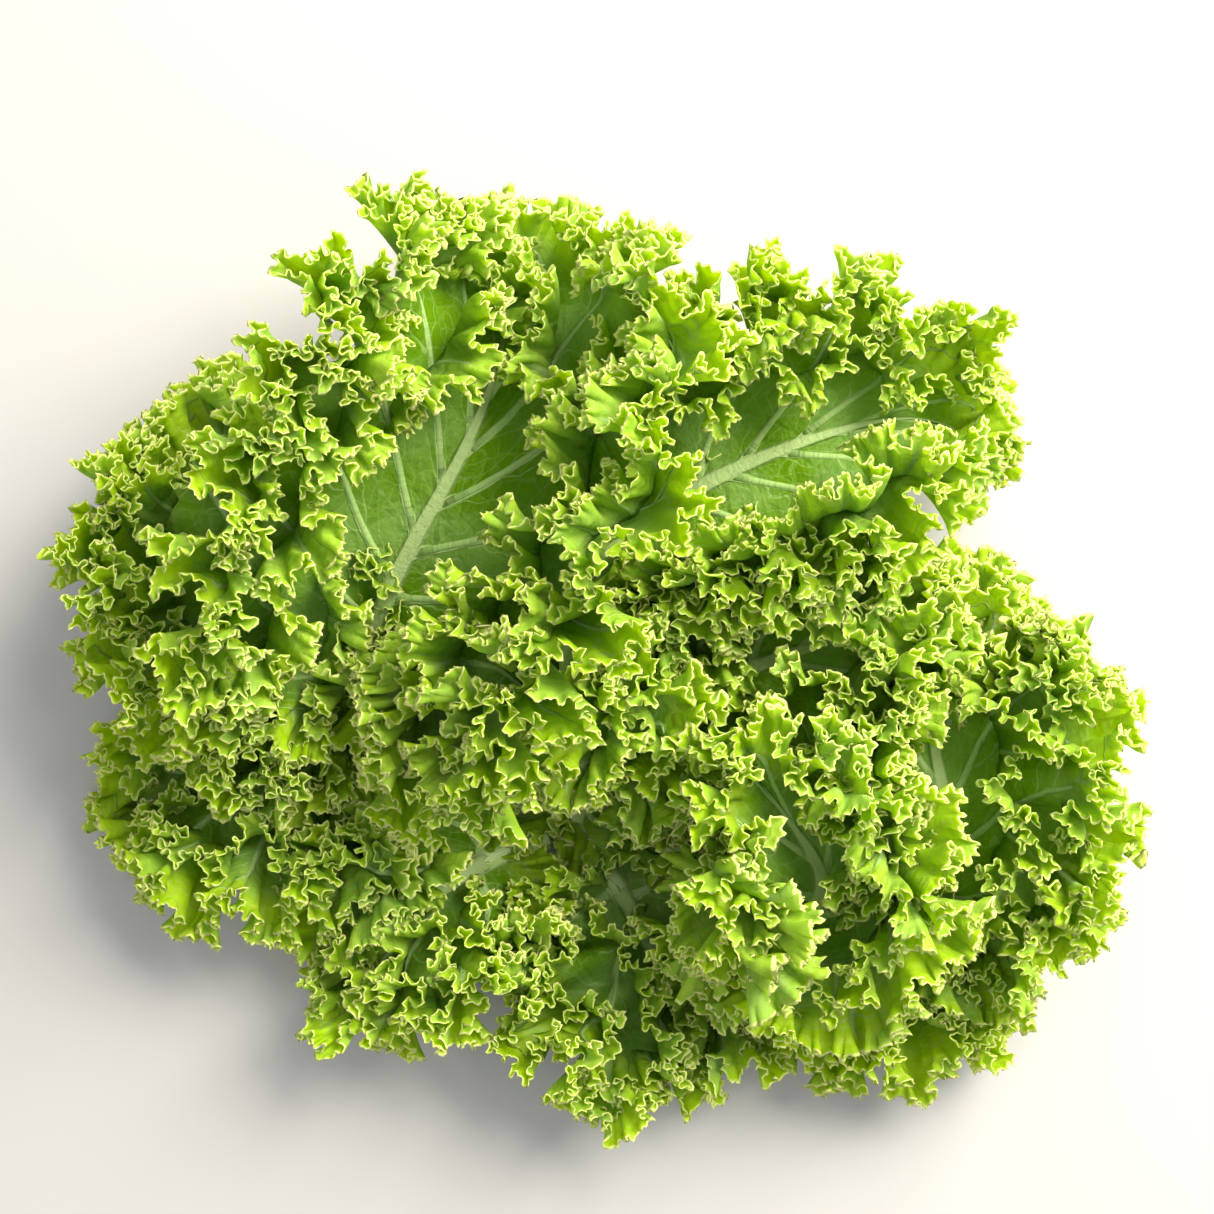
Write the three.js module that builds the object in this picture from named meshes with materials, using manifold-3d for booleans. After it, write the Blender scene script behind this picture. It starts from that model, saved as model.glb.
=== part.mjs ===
// Bunch of curly kale: twelve frilled leaves heaped with their cut stems gathered
// underneath, lying on a flat surface. Millimetres, +Z up. The origin is on the
// surface, below the middle of the bunch.
//
// Each leaf is one solid: a thin blade whose margin is thrown into waves, and a
// tapered rib that runs on below the blade as its stalk.

import * as THREE from 'three';
import { mergeVertices } from 'three/addons/utils/BufferGeometryUtils.js';
import Module from 'manifold-3d';

const wasm = await Module();
wasm.setup();

// ---- Sizes shared by all leaves, mm ----
const BLADE_THICKNESS = 0.9;      // square to the blade, on the waves too
const MITRE = 2.4;                // the most that a wave's crest is thickened to keep to that
const STALK_RADIUS = 4.5;         // at the cut end
const RIB_RADIUS = 4.2;           // where the blade begins
const TIP_RADIUS = 1.1;           // at the tip of the rib
const RIDGE_SHARE = 0.9;          // the rib's ridge stands this share of its radius proud
const STALK_SIDES = 8;
const STALK_STEP = 12;            // between the stalk's rings
const SLIVER = 0.1;               // finer detail than this is smoothed away
const GAP = 0.45;                 // kept clear between neighbouring leaves
const WELD = 1e-4;                // points closer than this are one

// ---- Form shared by all leaves ----
const FOOT_END = 0.93;            // share of the rib where the tip ray starts
const STALK_OVERLAP = 0.04;       // share of the rib that the stalk runs into the blade
const BASE_ANGLE = 112;           // degrees from the rib to the lowest side ray
const ANGLE_POWER = 1.6;          // how late the rays turn towards the tip
const SAMPLES_PER_WAVE = 4;
const ROWS = [0.42, 0.72, 1];     // rows of points between the rib and the margin
const WAVE_LIFT = 1.15;           // the highest waves, of a leaf's `height`
const WAVE_SWELL = [0.75, 0.45];  // the least of that, and how much more it may be
const WAVE_POWER = 1.25;          // how fast the waves grow from the smooth middle outwards
const WINDOW_SHARE = 0.5;         // the smooth middle is at most this share of the blade
const LOBE = 4;                   // mm that the blade reaches further at crests and troughs
const CURL_POWER = 1.4;           // how late the blade curls up
const CURL_STEPS = 24;
const BELLY_END = 0.9;            // how far up the rib the flanks' swelling runs
const TIP_START = 0.55;           // how far up the rib the flanks begin to pass into the tip
const TAPER_POWER = 0.8;          // how the rib thins towards its tip

// ---- The leaves, highest first ----
// MIDDLE: the middle of the bunch's footprint, in the ribs' own coordinates, mm.
// rib: points that the rib runs through, from the cut end to the tip, mm.
// start: share of the rib's length where the blade begins.
// left, right, tip: reach of the blade from the rib (mm), its slope beside the
// rib and its slope at the margin (degrees above the rib's own plane).
// base: how broad the blade is at its base, of its broadest.
// window: half the width of the smooth middle, mm.
// waves: along the whole margin.
// height: of the margin waves to either side, mm.
const MIDDLE = { x: -2.7, y: -4.9 };
const LEAVES = [
  {
    name: 'leaf_01_broad', start: 0.37, base: 0.86, window: 28, waves: 17, height: 12, seed: 11,
    rib: [[-17, -38, 13], [-50, -34, 25], [-76, -14, 42], [-72, 8, 56], [-60, 32, 65],
      [-44, 60, 70], [-35, 82, 67], [-31, 106, 56], [-37, 133, 37]],
    left: [84, 20, 95], right: [92, 14, 80], tip: [28, 10, 60],
  },
  {
    name: 'leaf_02_spoon', start: 0.4, base: 0.8, window: 18, waves: 15, height: 11, seed: 23,
    rib: [[-8, -32, 13], [-10, -4, 20], [2, 28, 31], [28, 49, 42], [66, 66, 48],
      [100, 74, 44], [124, 70, 32]],
    left: [60, 4, 60], right: [56, 18, 58], tip: [30, 5, 45],
  },
  {
    name: 'leaf_03_upright', start: 0.42, base: 0.8, window: 14, waves: 12, height: 10, seed: 37,
    rib: [[14, -62, 13], [44, -84, 24], [68, -88, 42], [70, -73, 56], [58, -54, 63],
      [44, -36, 64]],
    left: [50, 20, 90], right: [50, 20, 58], tip: [28, 10, 60],
  },
  {
    name: 'leaf_04_side', start: 0.5, base: 0.8, window: 10, waves: 14, height: 11, seed: 41,
    rib: [[16, -54, 4], [52, -72, 6], [92, -88, 19], [110, -76, 38], [111, -50, 48],
      [108, -26, 50], [120, -2, 44], [132, 12, 34]],
    left: [46, 20, 90], right: [62, 6, 50], tip: [28, 0, 40],
  },
  {
    name: 'leaf_05_heart', start: 0.3, base: 0.85, window: 3, waves: 10, height: 9, seed: 113,
    rib: [[-1, -46, 16], [6, -40, 34], [8, -26, 48], [4, -8, 56]],
    left: [34, 20, 58], right: [34, 20, 58], tip: [22, 10, 60],
  },
  {
    name: 'leaf_06_inner', start: 0.3, base: 0.9, window: 4, waves: 12, height: 10, seed: 53,
    rib: [[8, -36, 12], [22, -24, 22], [46, -10, 34], [78, 2, 42], [104, 14, 40]],
    left: [48, 12, 43], right: [52, 12, 43], tip: [28, 0, 45],
  },
  {
    name: 'leaf_07_left', start: 0.4, base: 0.75, window: 12, waves: 15, height: 11, seed: 67,
    rib: [[-24, -44, 4], [-58, -29, 13], [-94, 2, 34], [-117, 36, 41], [-127, 70, 30]],
    left: [66, 6, 55], right: [52, 14, 60], tip: [38, 0, 30],
  },
  {
    name: 'leaf_08_low_left', start: 0.36, base: 0.85, window: 8, waves: 13, height: 11, seed: 71,
    rib: [[-25, -57, 4], [-60, -51, 7], [-100, -44, 20], [-136, -48, 20], [-164, -58, 8]],
    left: [54, 6, 50], right: [46, 6, 50], tip: [26, 0, 30],
  },
  {
    name: 'leaf_09_front_left', start: 0.3, base: 0.8, window: 4, waves: 12, height: 10, seed: 83,
    rib: [[-20, -68, 4], [-40, -76, 11], [-60, -88, 22], [-76, -98, 18], [-88, -106, 6]],
    left: [46, 10, 55], right: [46, 12, 55], tip: [24, 0, 30],
  },
  {
    name: 'leaf_10_front', start: 0.26, base: 0.8, window: 4, waves: 11, height: 10, seed: 97,
    rib: [[-5, -74, 4], [8, -90, 10], [18, -108, 18], [26, -122, 15], [32, -134, 6]],
    left: [52, 8, 50], right: [54, 6, 50], tip: [22, 0, 30],
  },
  {
    name: 'leaf_11_front_right', start: 0.42, base: 0.8, window: 8, waves: 12, height: 10, seed: 103,
    rib: [[8, -72, 4], [42, -98, 6], [80, -110, 15], [116, -114, 17], [141, -108, 6]],
    left: [46, 6, 50], right: [40, 6, 45], tip: [26, 0, 30],
  },
  {
    name: 'leaf_12_back', start: 0.06, base: 0.8, window: 10, waves: 9, height: 9, seed: 127,
    rib: [[-11, -63, 4], [-3, -36, 4], [3, 4, 5], [10, 52, 18], [22, 84, 19], [34, 106, 5]],
    left: [48, 4, 40], right: [52, 4, 40], tip: [24, 0, 30],
  },
];

const LEAF_COLOUR = 0x6f9e2c;

// A repeatable draw of numbers from 0 to 1.
const DRAW_FACTOR = 16807;
const DRAW_RANGE = 2 ** 31 - 1;

function seededDraw(seed) {
  let state = seed;
  return () => {
    state = (state * DRAW_FACTOR) % DRAW_RANGE;
    return state / DRAW_RANGE;
  };
}

const mix = (a, b, t) => a + (b - a) * t;

const radians = THREE.MathUtils.degToRad;

// The rib's point and its three directions at a share of its length: along the
// rib, towards the leaf's left side, and out of its upper face.
function ribFrame(curve, share) {
  const point = curve.getPointAt(share);
  const along = curve.getTangentAt(share);
  const normal = new THREE.Vector3(0, 0, 1).addScaledVector(along, -along.z).normalize();
  const left = new THREE.Vector3().crossVectors(normal, along);
  return { point, along, normal, left };
}

// How far a curled section has gone sideways and up after a share of its length.
// Its slope grows from `slope` to `curl` as share ** CURL_POWER.
function curledSection(share, slope, curl) {
  let across = 0;
  let up = 0;
  for (let step = 0; step < CURL_STEPS; step += 1) {
    const at = (share * (step + 0.5)) / CURL_STEPS;
    const angle = radians(mix(slope, curl, at ** CURL_POWER));
    across += (Math.cos(angle) * share) / CURL_STEPS;
    up += (Math.sin(angle) * share) / CURL_STEPS;
  }
  return { across, up };
}

// How far up the rib the ray at a turn starts: 0 at the blade's base, 1 at its tip.
const climbOf = (turn) => 1 - Math.abs(2 * turn - 1);

const footOf = (leaf, turn) => mix(leaf.start, FOOT_END, climbOf(turn));

// How far the blade reaches from the rib, along its curled section.
function bladeLength(leaf, turn) {
  const [reach] = turn < 0.5 ? leaf.left : leaf.right;
  const climb = climbOf(turn);
  const belly = mix(leaf.base, 1, Math.sin(Math.PI * Math.min(climb / BELLY_END, 1)));
  return mix(reach * belly, leaf.tip[0], THREE.MathUtils.smoothstep(climb, TIP_START, 1));
}

// A point of the blade before its margin is waved. `turn` runs round the margin
// from 0 at the left base over 0.5 at the tip to 1 at the right base, and
// `reach` from 0 at the rib to 1 at the margin.
function smoothBlade(leaf, curve, turn, reach) {
  const side = turn < 0.5 ? leaf.left : leaf.right;
  const climb = climbOf(turn);
  const toTip = THREE.MathUtils.smoothstep(climb, TIP_START, 1);
  const frame = ribFrame(curve, footOf(leaf, turn));
  const angle = radians(BASE_ANGLE * (1 - climb ** ANGLE_POWER));
  const length = bladeLength(leaf, turn);
  const [slope, curl] = [mix(side[1], leaf.tip[1], toTip), mix(side[2], leaf.tip[2], toTip)];
  const section = curledSection(reach, slope, curl);
  const outward = Math.sin(angle) * (turn < 0.5 ? 1 : -1);
  return frame.point.clone()
    .addScaledVector(frame.along, Math.cos(angle) * section.across * length)
    .addScaledVector(frame.left, outward * section.across * length)
    .addScaledVector(frame.normal, section.up * length);
}

// The direction out of the upper face at a point of a sheet, square to the lines
// that join its neighbours round the sheet and outwards.
function sheetNormal(sheet, r, c) {
  const [before, after] = [sheet[r][Math.max(c - 1, 0)], sheet[r][Math.min(c + 1, sheet[r].length - 1)]];
  const [inner, outer] = [sheet[r - 1][c], sheet[Math.min(r + 1, sheet.length - 1)][c]];
  const round = new THREE.Vector3().subVectors(after, before);
  const out = new THREE.Vector3().subVectors(outer, inner);
  return round.cross(out).normalize();
}

// How far to go along a point's normal for a face to be moved square to itself by
// one: more where the sheet bends at the point.
function mitreAt(sheet, r, c, normal) {
  const sines = [c - 1, c + 1].filter((near) => near >= 0 && near < sheet[r].length).map((near) => {
    const edge = new THREE.Vector3().subVectors(sheet[r][near], sheet[r][c]).normalize();
    return edge.cross(normal).length();
  });
  return Math.min(1 / Math.min(...sines), MITRE);
}

// Half the rib's thickness at a share of its length.
function ribRadius(leaf, share) {
  const below = Math.min(share / leaf.start, 1);
  const beyond = Math.max((share - leaf.start) / (1 - leaf.start), 0);
  return mix(mix(STALK_RADIUS, RIB_RADIUS, below), TIP_RADIUS, beyond ** TAPER_POWER);
}

// The rows of points of the waved blade, each with half its thickness there: the
// rib's ridge line, the foot of the ridge beside it, then a row for each of ROWS.
// The waves rise and fall square to the smooth blade, by more towards the margin,
// and each crest and trough is a lobe.
function wavedBlade(leaf, curve, extra) {
  const draw = seededDraw(leaf.seed);
  const swell = Array.from({ length: leaf.waves }, () => WAVE_SWELL[0] + WAVE_SWELL[1] * draw());
  const columns = leaf.waves * SAMPLES_PER_WAVE;
  const turns = Array.from({ length: columns + 1 }, (_, column) => column / columns);
  const radii = turns.map((turn) => ribRadius(leaf, footOf(leaf, turn)));
  const lengths = turns.map((turn) => bladeLength(leaf, turn));
  const ribRows = [() => 0, (c) => radii[c] / lengths[c]];
  const reaches = [...ribRows, ...ROWS.map((reach) => () => reach)];
  const smooth = reaches.map((reach) => turns.map((turn, c) => smoothBlade(leaf, curve, turn, reach(c))));
  const waved = smooth.map((row, r) => row.map((point, c) => {
    if (r < ribRows.length) {
      return point;
    }
    const window = Math.min(leaf.window / lengths[c], WINDOW_SHARE);
    const grow = Math.max((reaches[r](c) - window) / (1 - window), 0) ** WAVE_POWER;
    const most = swell[Math.min(Math.floor(c / SAMPLES_PER_WAVE), leaf.waves - 1)];
    const wave = Math.sin((2 * Math.PI * c) / SAMPLES_PER_WAVE);
    const lift = WAVE_LIFT * leaf.height * most * wave * grow;
    const outward = new THREE.Vector3().subVectors(point, smooth[r - 1][c]).normalize();
    return point.clone()
      .addScaledVector(sheetNormal(smooth, r, c), lift)
      .addScaledVector(outward, LOBE * Math.abs(wave) * grow);
  }));
  const flat = BLADE_THICKNESS / 2 + extra;
  return waved.map((row, r) => row.map((point, c) => {
    if (r === 0) {
      const ridge = ribFrame(curve, footOf(leaf, turns[c])).normal;
      return { point, half: ridge.multiplyScalar(radii[c] * RIDGE_SHARE + extra) };
    }
    const normal = sheetNormal(waved, r, c);
    return { point, half: normal.multiplyScalar(flat * mitreAt(waved, r, c, normal)) };
  }));
}

// Closes a sheet of points into a thin shell: each point goes to either side by
// its own half thickness. The left and right halves share the points on the rib,
// and both faces are split into triangles alike.
function shellOfSheet(rows) {
  const columns = rows[0].length - 1;
  const points = [];
  const index = rows.map((row, r) => row.map((point, column) => {
    if (r === 0 && column > columns / 2) {
      return columns - column;
    }
    points.push(point);
    return points.length - 1;
  }));
  const sheet = [];
  for (let r = 0; r < rows.length - 1; r += 1) {
    for (let c = 0; c < columns; c += 1) {
      const [a, b] = [index[r][c], index[r][c + 1]];
      const [d, e] = [index[r + 1][c], index[r + 1][c + 1]];
      sheet.push([a, b, e], [a, e, d]);
    }
  }
  const count = points.length;
  const position = new Float32Array(count * 6);
  points.forEach(({ point, half }, i) => {
    point.clone().add(half).toArray(position, i * 3);
    point.clone().sub(half).toArray(position, (count + i) * 3);
  });
  const edge = new Map();
  const faces = [];
  sheet.forEach(([a, b, c]) => {
    faces.push(a, b, c, count + c, count + b, count + a);
    [[a, b], [b, c], [c, a]].forEach(([from, to]) => edge.set(`${from},${to}`, [from, to]));
  });
  edge.forEach(([from, to]) => {
    if (!edge.has(`${to},${from}`)) {
      faces.push(to, from, count + from, to, count + from, count + to);
    }
  });
  return solidOf(position, faces);
}

// The stalk: rings of points round the rib's curve from the cut end to a little
// past the blade's start, closed at both ends.
function stalkSolid(leaf, curve, extra) {
  const position = [];
  const steps = Math.ceil((leaf.start * curve.getLength()) / STALK_STEP) + 1;
  for (let step = 0; step <= steps; step += 1) {
    const share = (step / steps) * (leaf.start + STALK_OVERLAP);
    const { point, normal, left } = ribFrame(curve, share);
    const radius = ribRadius(leaf, share) + extra;
    for (let side = 0; side < STALK_SIDES; side += 1) {
      const angle = (2 * Math.PI * (side + 0.5)) / STALK_SIDES;
      position.push(...point.clone()
        .addScaledVector(left, Math.cos(angle) * radius)
        .addScaledVector(normal, Math.sin(angle) * radius).toArray());
    }
  }
  const last = steps * STALK_SIDES;
  const faces = [];
  for (let side = 0; side < STALK_SIDES; side += 1) {
    const next = (side + 1) % STALK_SIDES;
    for (let ring = 0; ring < last; ring += STALK_SIDES) {
      faces.push(ring + side, ring + next, ring + STALK_SIDES + side);
      faces.push(ring + next, ring + STALK_SIDES + next, ring + STALK_SIDES + side);
    }
    if (side > 0 && side < STALK_SIDES - 1) {
      faces.push(0, side + 1, side, last, last + side, last + side + 1);
    }
  }
  return solidOf(new Float32Array(position), faces);
}

function solidOf(position, faces) {
  const mesh = new wasm.Mesh({
    numProp: 3, vertProperties: position, triVerts: new Uint32Array(faces),
  });
  return new wasm.Manifold(mesh);
}

// A three.js geometry as a solid, its shared vertices merged.
function solidOfGeometry(geometry) {
  const plain = geometry.clone();
  plain.deleteAttribute('normal');
  plain.deleteAttribute('uv');
  const merged = mergeVertices(plain, WELD);
  return solidOf(new Float32Array(merged.attributes.position.array), Array.from(merged.index.array));
}

const largest = (solid) => solid.decompose().sort((a, b) => b.volume() - a.volume())[0];

const curves = LEAVES.map((leaf) => new THREE.CatmullRomCurve3(
  leaf.rib.map(([x, y, z]) => new THREE.Vector3(x - MIDDLE.x, y - MIDDLE.y, z))));
const fatBlades = LEAVES.map((leaf, i) => shellOfSheet(wavedBlade(leaf, curves[i], GAP)));
const fatStalks = LEAVES.map((leaf, i) => stalkSolid(leaf, curves[i], GAP));

// What would press into the surface below is flattened on it.
const SLAB = { side: 600, depth: 60 };
const below = solidOfGeometry(
  new THREE.BoxGeometry(SLAB.side, SLAB.side, SLAB.depth).translate(0, 0, -SLAB.depth / 2));

// A leaf whose blade gives way to every other stalk and to the leaves above it.
function leafSolid(leaf, i, above) {
  let blade = shellOfSheet(wavedBlade(leaf, curves[i], 0));
  fatStalks.forEach((stalk, j) => {
    if (j !== i) {
      blade = blade.subtract(stalk);
    }
    if (j < i) {
      blade = blade.subtract(fatBlades[j]).subtract(above[j]);
    }
  });
  return largest(blade.add(stalkSolid(leaf, curves[i], 0)).subtract(below).simplify(SLIVER));
}

function meshOf(name, solid) {
  const { vertProperties, triVerts } = solid.getMesh();
  const geometry = new THREE.BufferGeometry();
  geometry.setAttribute('position', new THREE.BufferAttribute(new Float32Array(vertProperties), 3));
  geometry.setIndex(new THREE.BufferAttribute(new Uint32Array(triVerts), 1));
  geometry.computeVertexNormals();
  const material = new THREE.MeshStandardMaterial({ color: LEAF_COLOUR, roughness: 0.5, metalness: 0 });
  const mesh = new THREE.Mesh(geometry, material);
  mesh.name = name;
  return mesh;
}

const solids = [];
LEAVES.forEach((leaf, i) => solids.push(leafSolid(leaf, i, solids)));
const bunch = new THREE.Group();
LEAVES.forEach((leaf, i) => bunch.add(meshOf(leaf.name, solids[i])));

export default bunch;
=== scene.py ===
"""A bunch of curly kale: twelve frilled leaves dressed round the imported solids.

Each leaf is worked out with numpy as closed shells: a blade with its rib, a stalk, the
side veins, and rows of lobes that stand on the blade. The smooth form and the large
waves follow the solid's. The margin is then thrown into three smaller sizes of fold,
each riding on the one before it, and cut into small curled teeth.
"""
import logging
import math
from dataclasses import dataclass
from enum import Enum

import bpy
import numpy as np
from mathutils import Matrix, Vector


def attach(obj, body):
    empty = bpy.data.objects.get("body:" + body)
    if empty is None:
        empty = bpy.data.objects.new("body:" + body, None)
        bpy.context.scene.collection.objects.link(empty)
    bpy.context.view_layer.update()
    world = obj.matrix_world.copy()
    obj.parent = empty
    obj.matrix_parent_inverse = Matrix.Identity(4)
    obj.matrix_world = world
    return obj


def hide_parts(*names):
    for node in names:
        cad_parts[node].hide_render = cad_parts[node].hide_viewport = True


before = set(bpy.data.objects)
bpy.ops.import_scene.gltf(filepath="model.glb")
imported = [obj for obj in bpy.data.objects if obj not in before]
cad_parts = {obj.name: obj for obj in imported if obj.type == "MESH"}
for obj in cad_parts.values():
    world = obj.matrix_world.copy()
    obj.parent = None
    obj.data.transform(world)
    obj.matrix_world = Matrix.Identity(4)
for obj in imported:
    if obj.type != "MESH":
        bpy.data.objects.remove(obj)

Array = np.ndarray
MM = 0.001
log = logging.getLogger("kale")
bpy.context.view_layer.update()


# ---- Small tools ---------------------------------------------------------

def mix(low: Array | float, high: Array | float, share: Array | float) -> Array | float:
    """The value that lies a share of the way from low to high."""
    return low + (high - low) * share


def smoothstep(value: Array | float, low: float, high: float) -> Array:
    """Rises from 0 at low to 1 at high as three t squared less two t cubed."""
    step = np.clip((value - low) / (high - low), 0.0, 1.0)
    return step * step * (3.0 - 2.0 * step)


def unit(vectors: Array) -> Array:
    """Vectors along the last axis, each divided by its own length."""
    return vectors / np.maximum(np.linalg.norm(vectors, axis=-1, keepdims=True), 1e-12)


def along_run(points: Array) -> Array:
    """Distance from the first point to each of a line of points, along the line."""
    return np.concatenate(([0.0], np.cumsum(np.linalg.norm(np.diff(points, axis=0), axis=1))))


def wander(rng: np.random.Generator, at: Array, knots: int) -> Array:
    """A smooth random walk between -1 and 1.

    Random values stand at evenly spaced knots, and half a cosine joins each to the next.

    Args:
        rng: source of the random values.
        at: places from 0 to 1.
        knots: how many spans the walk has from 0 to 1.

    Returns:
        The walk's value at each place.
    """
    values = rng.uniform(-1.0, 1.0, knots + 2)
    place = np.clip(at, 0.0, 1.0) * knots
    index = np.minimum(place.astype(int), knots)
    blend = 0.5 - 0.5 * np.cos(np.pi * (place - index))
    return mix(values[index], values[index + 1], blend)


def sheet_directions(sheet: Array) -> tuple[Array, Array, Array]:
    """Unit directions of a sheet of points: round its rows, outwards, and out of its upper face.

    Args:
        sheet: points by row, from the rib to the margin, and by column round the leaf.

    Returns:
        The directions at each point. The third is the first crossed with the second.
    """
    round_way = unit(np.gradient(sheet, axis=1))
    out_way = unit(np.gradient(sheet, axis=0))
    normal = unit(np.cross(round_way, out_way))
    return round_way, out_way, normal


def steadied(sheet: Array, reach: int) -> Array:
    """A sheet whose every point is the mean of those within a reach of columns on either side."""
    wide = np.pad(sheet, ((0, 0), (reach + 1, reach), (0, 0)), "edge").cumsum(axis=1)
    return (wide[:, 2 * reach + 1:] - wide[:, :-2 * reach - 1]) / (2 * reach + 1)


# ---- The leaves' measures, in mm, as in the solids -----------------------

MIDDLE = np.array([-2.7, -4.9, 0.0])    # middle of the footprint, in the ribs' own coordinates
STALK_RADIUS = 4.5                      # at the cut end
RIB_RADIUS = 4.2                        # where the blade begins
TIP_RADIUS = 1.1                        # at the tip of the rib
TAPER_POWER = 0.8                       # how the rib thins towards its tip
FOOT_END = 0.93                         # share of the rib where the tip ray starts
BASE_ANGLE = 112.0                      # degrees from the rib to the lowest side ray
ANGLE_POWER = 1.6                       # how late the rays turn towards the tip
BELLY_END = 0.9                         # how far up the rib the flanks' swelling runs
TIP_START = 0.55                        # how far up the rib the flanks begin to pass into the tip
CURL_POWER = 1.4                        # how late the blade curls up
CURL_STEPS = 24
WAVE_LIFT = 1.15                        # how high the waves are in the blade, of the plan's height
WAVE_SWELL = (0.75, 0.45)               # the least factor on that, and how much more it may be
WAVE_POWER = 1.25                       # how fast the waves grow from the smooth middle outwards
WINDOW_SHARE = 0.5                      # the smooth middle is at most this share of the blade
DRAW_FACTOR = 16807
DRAW_RANGE = 2 ** 31 - 1

# ---- What the scene adds to them -------------------------------------------

RIB_TOP = 0.72                          # height of a rib's upper half, of its radius
LEAST_HEIGHT = 0.02                     # of any point above the floor
LOW_ZONE = (0.45, 5.0)                  # heights into which the low parts of blades are pressed


@dataclass(frozen=True)
class Flank:
    """One side of a blade, or its tip."""

    reach: float        # mm from the rib to the margin, along the curled section
    slope: float        # degrees beside the rib
    curl: float         # degrees at the margin


@dataclass(frozen=True)
class Fold:
    """One size of fold in the margin."""

    length: float       # mm of margin to a wave
    height: float       # mm to either side
    depth: float        # mm in from the margin where the fold has died away
    lean: float         # over 0.5 the waves hang over their neighbours
    ragged: float       # how unequal the waves are
    lobe: float         # mm by which the crests reach further out than the sinuses


@dataclass(frozen=True)
class Tier:
    """A row of lobes that stands on a blade, with a frilled margin of its own."""

    start: float        # place round the leaf, as a turn
    end: float
    foot: float         # share of the blade's length where it stands, at its start
    far_foot: float     # the same at its end
    width: float        # mm
    lean: float         # degrees up from the blade, 90 upright


@dataclass(frozen=True)
class LeafPlan:
    """The measures that make one leaf."""

    node: str
    start: float        # share of the rib's length where the blade begins
    base: float         # how broad the blade is at its base, of its broadest
    waves: int          # large ones, round the whole margin
    height: float       # mm to either side of such a wave
    seed: int
    left: Flank
    right: Flank
    tip: Flank
    rib: tuple[tuple[float, float, float], ...]
    grain: float        # mm of the smooth margin to a column of points
    window: float       # half the width of the smooth middle, mm
    fan: float = 0.1    # of the turn, spent on each lobe beside the stalk
    sweep: float = 60.0     # degrees that those lobes sweep back
    tiers: tuple[Tier, ...] = ()


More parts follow.
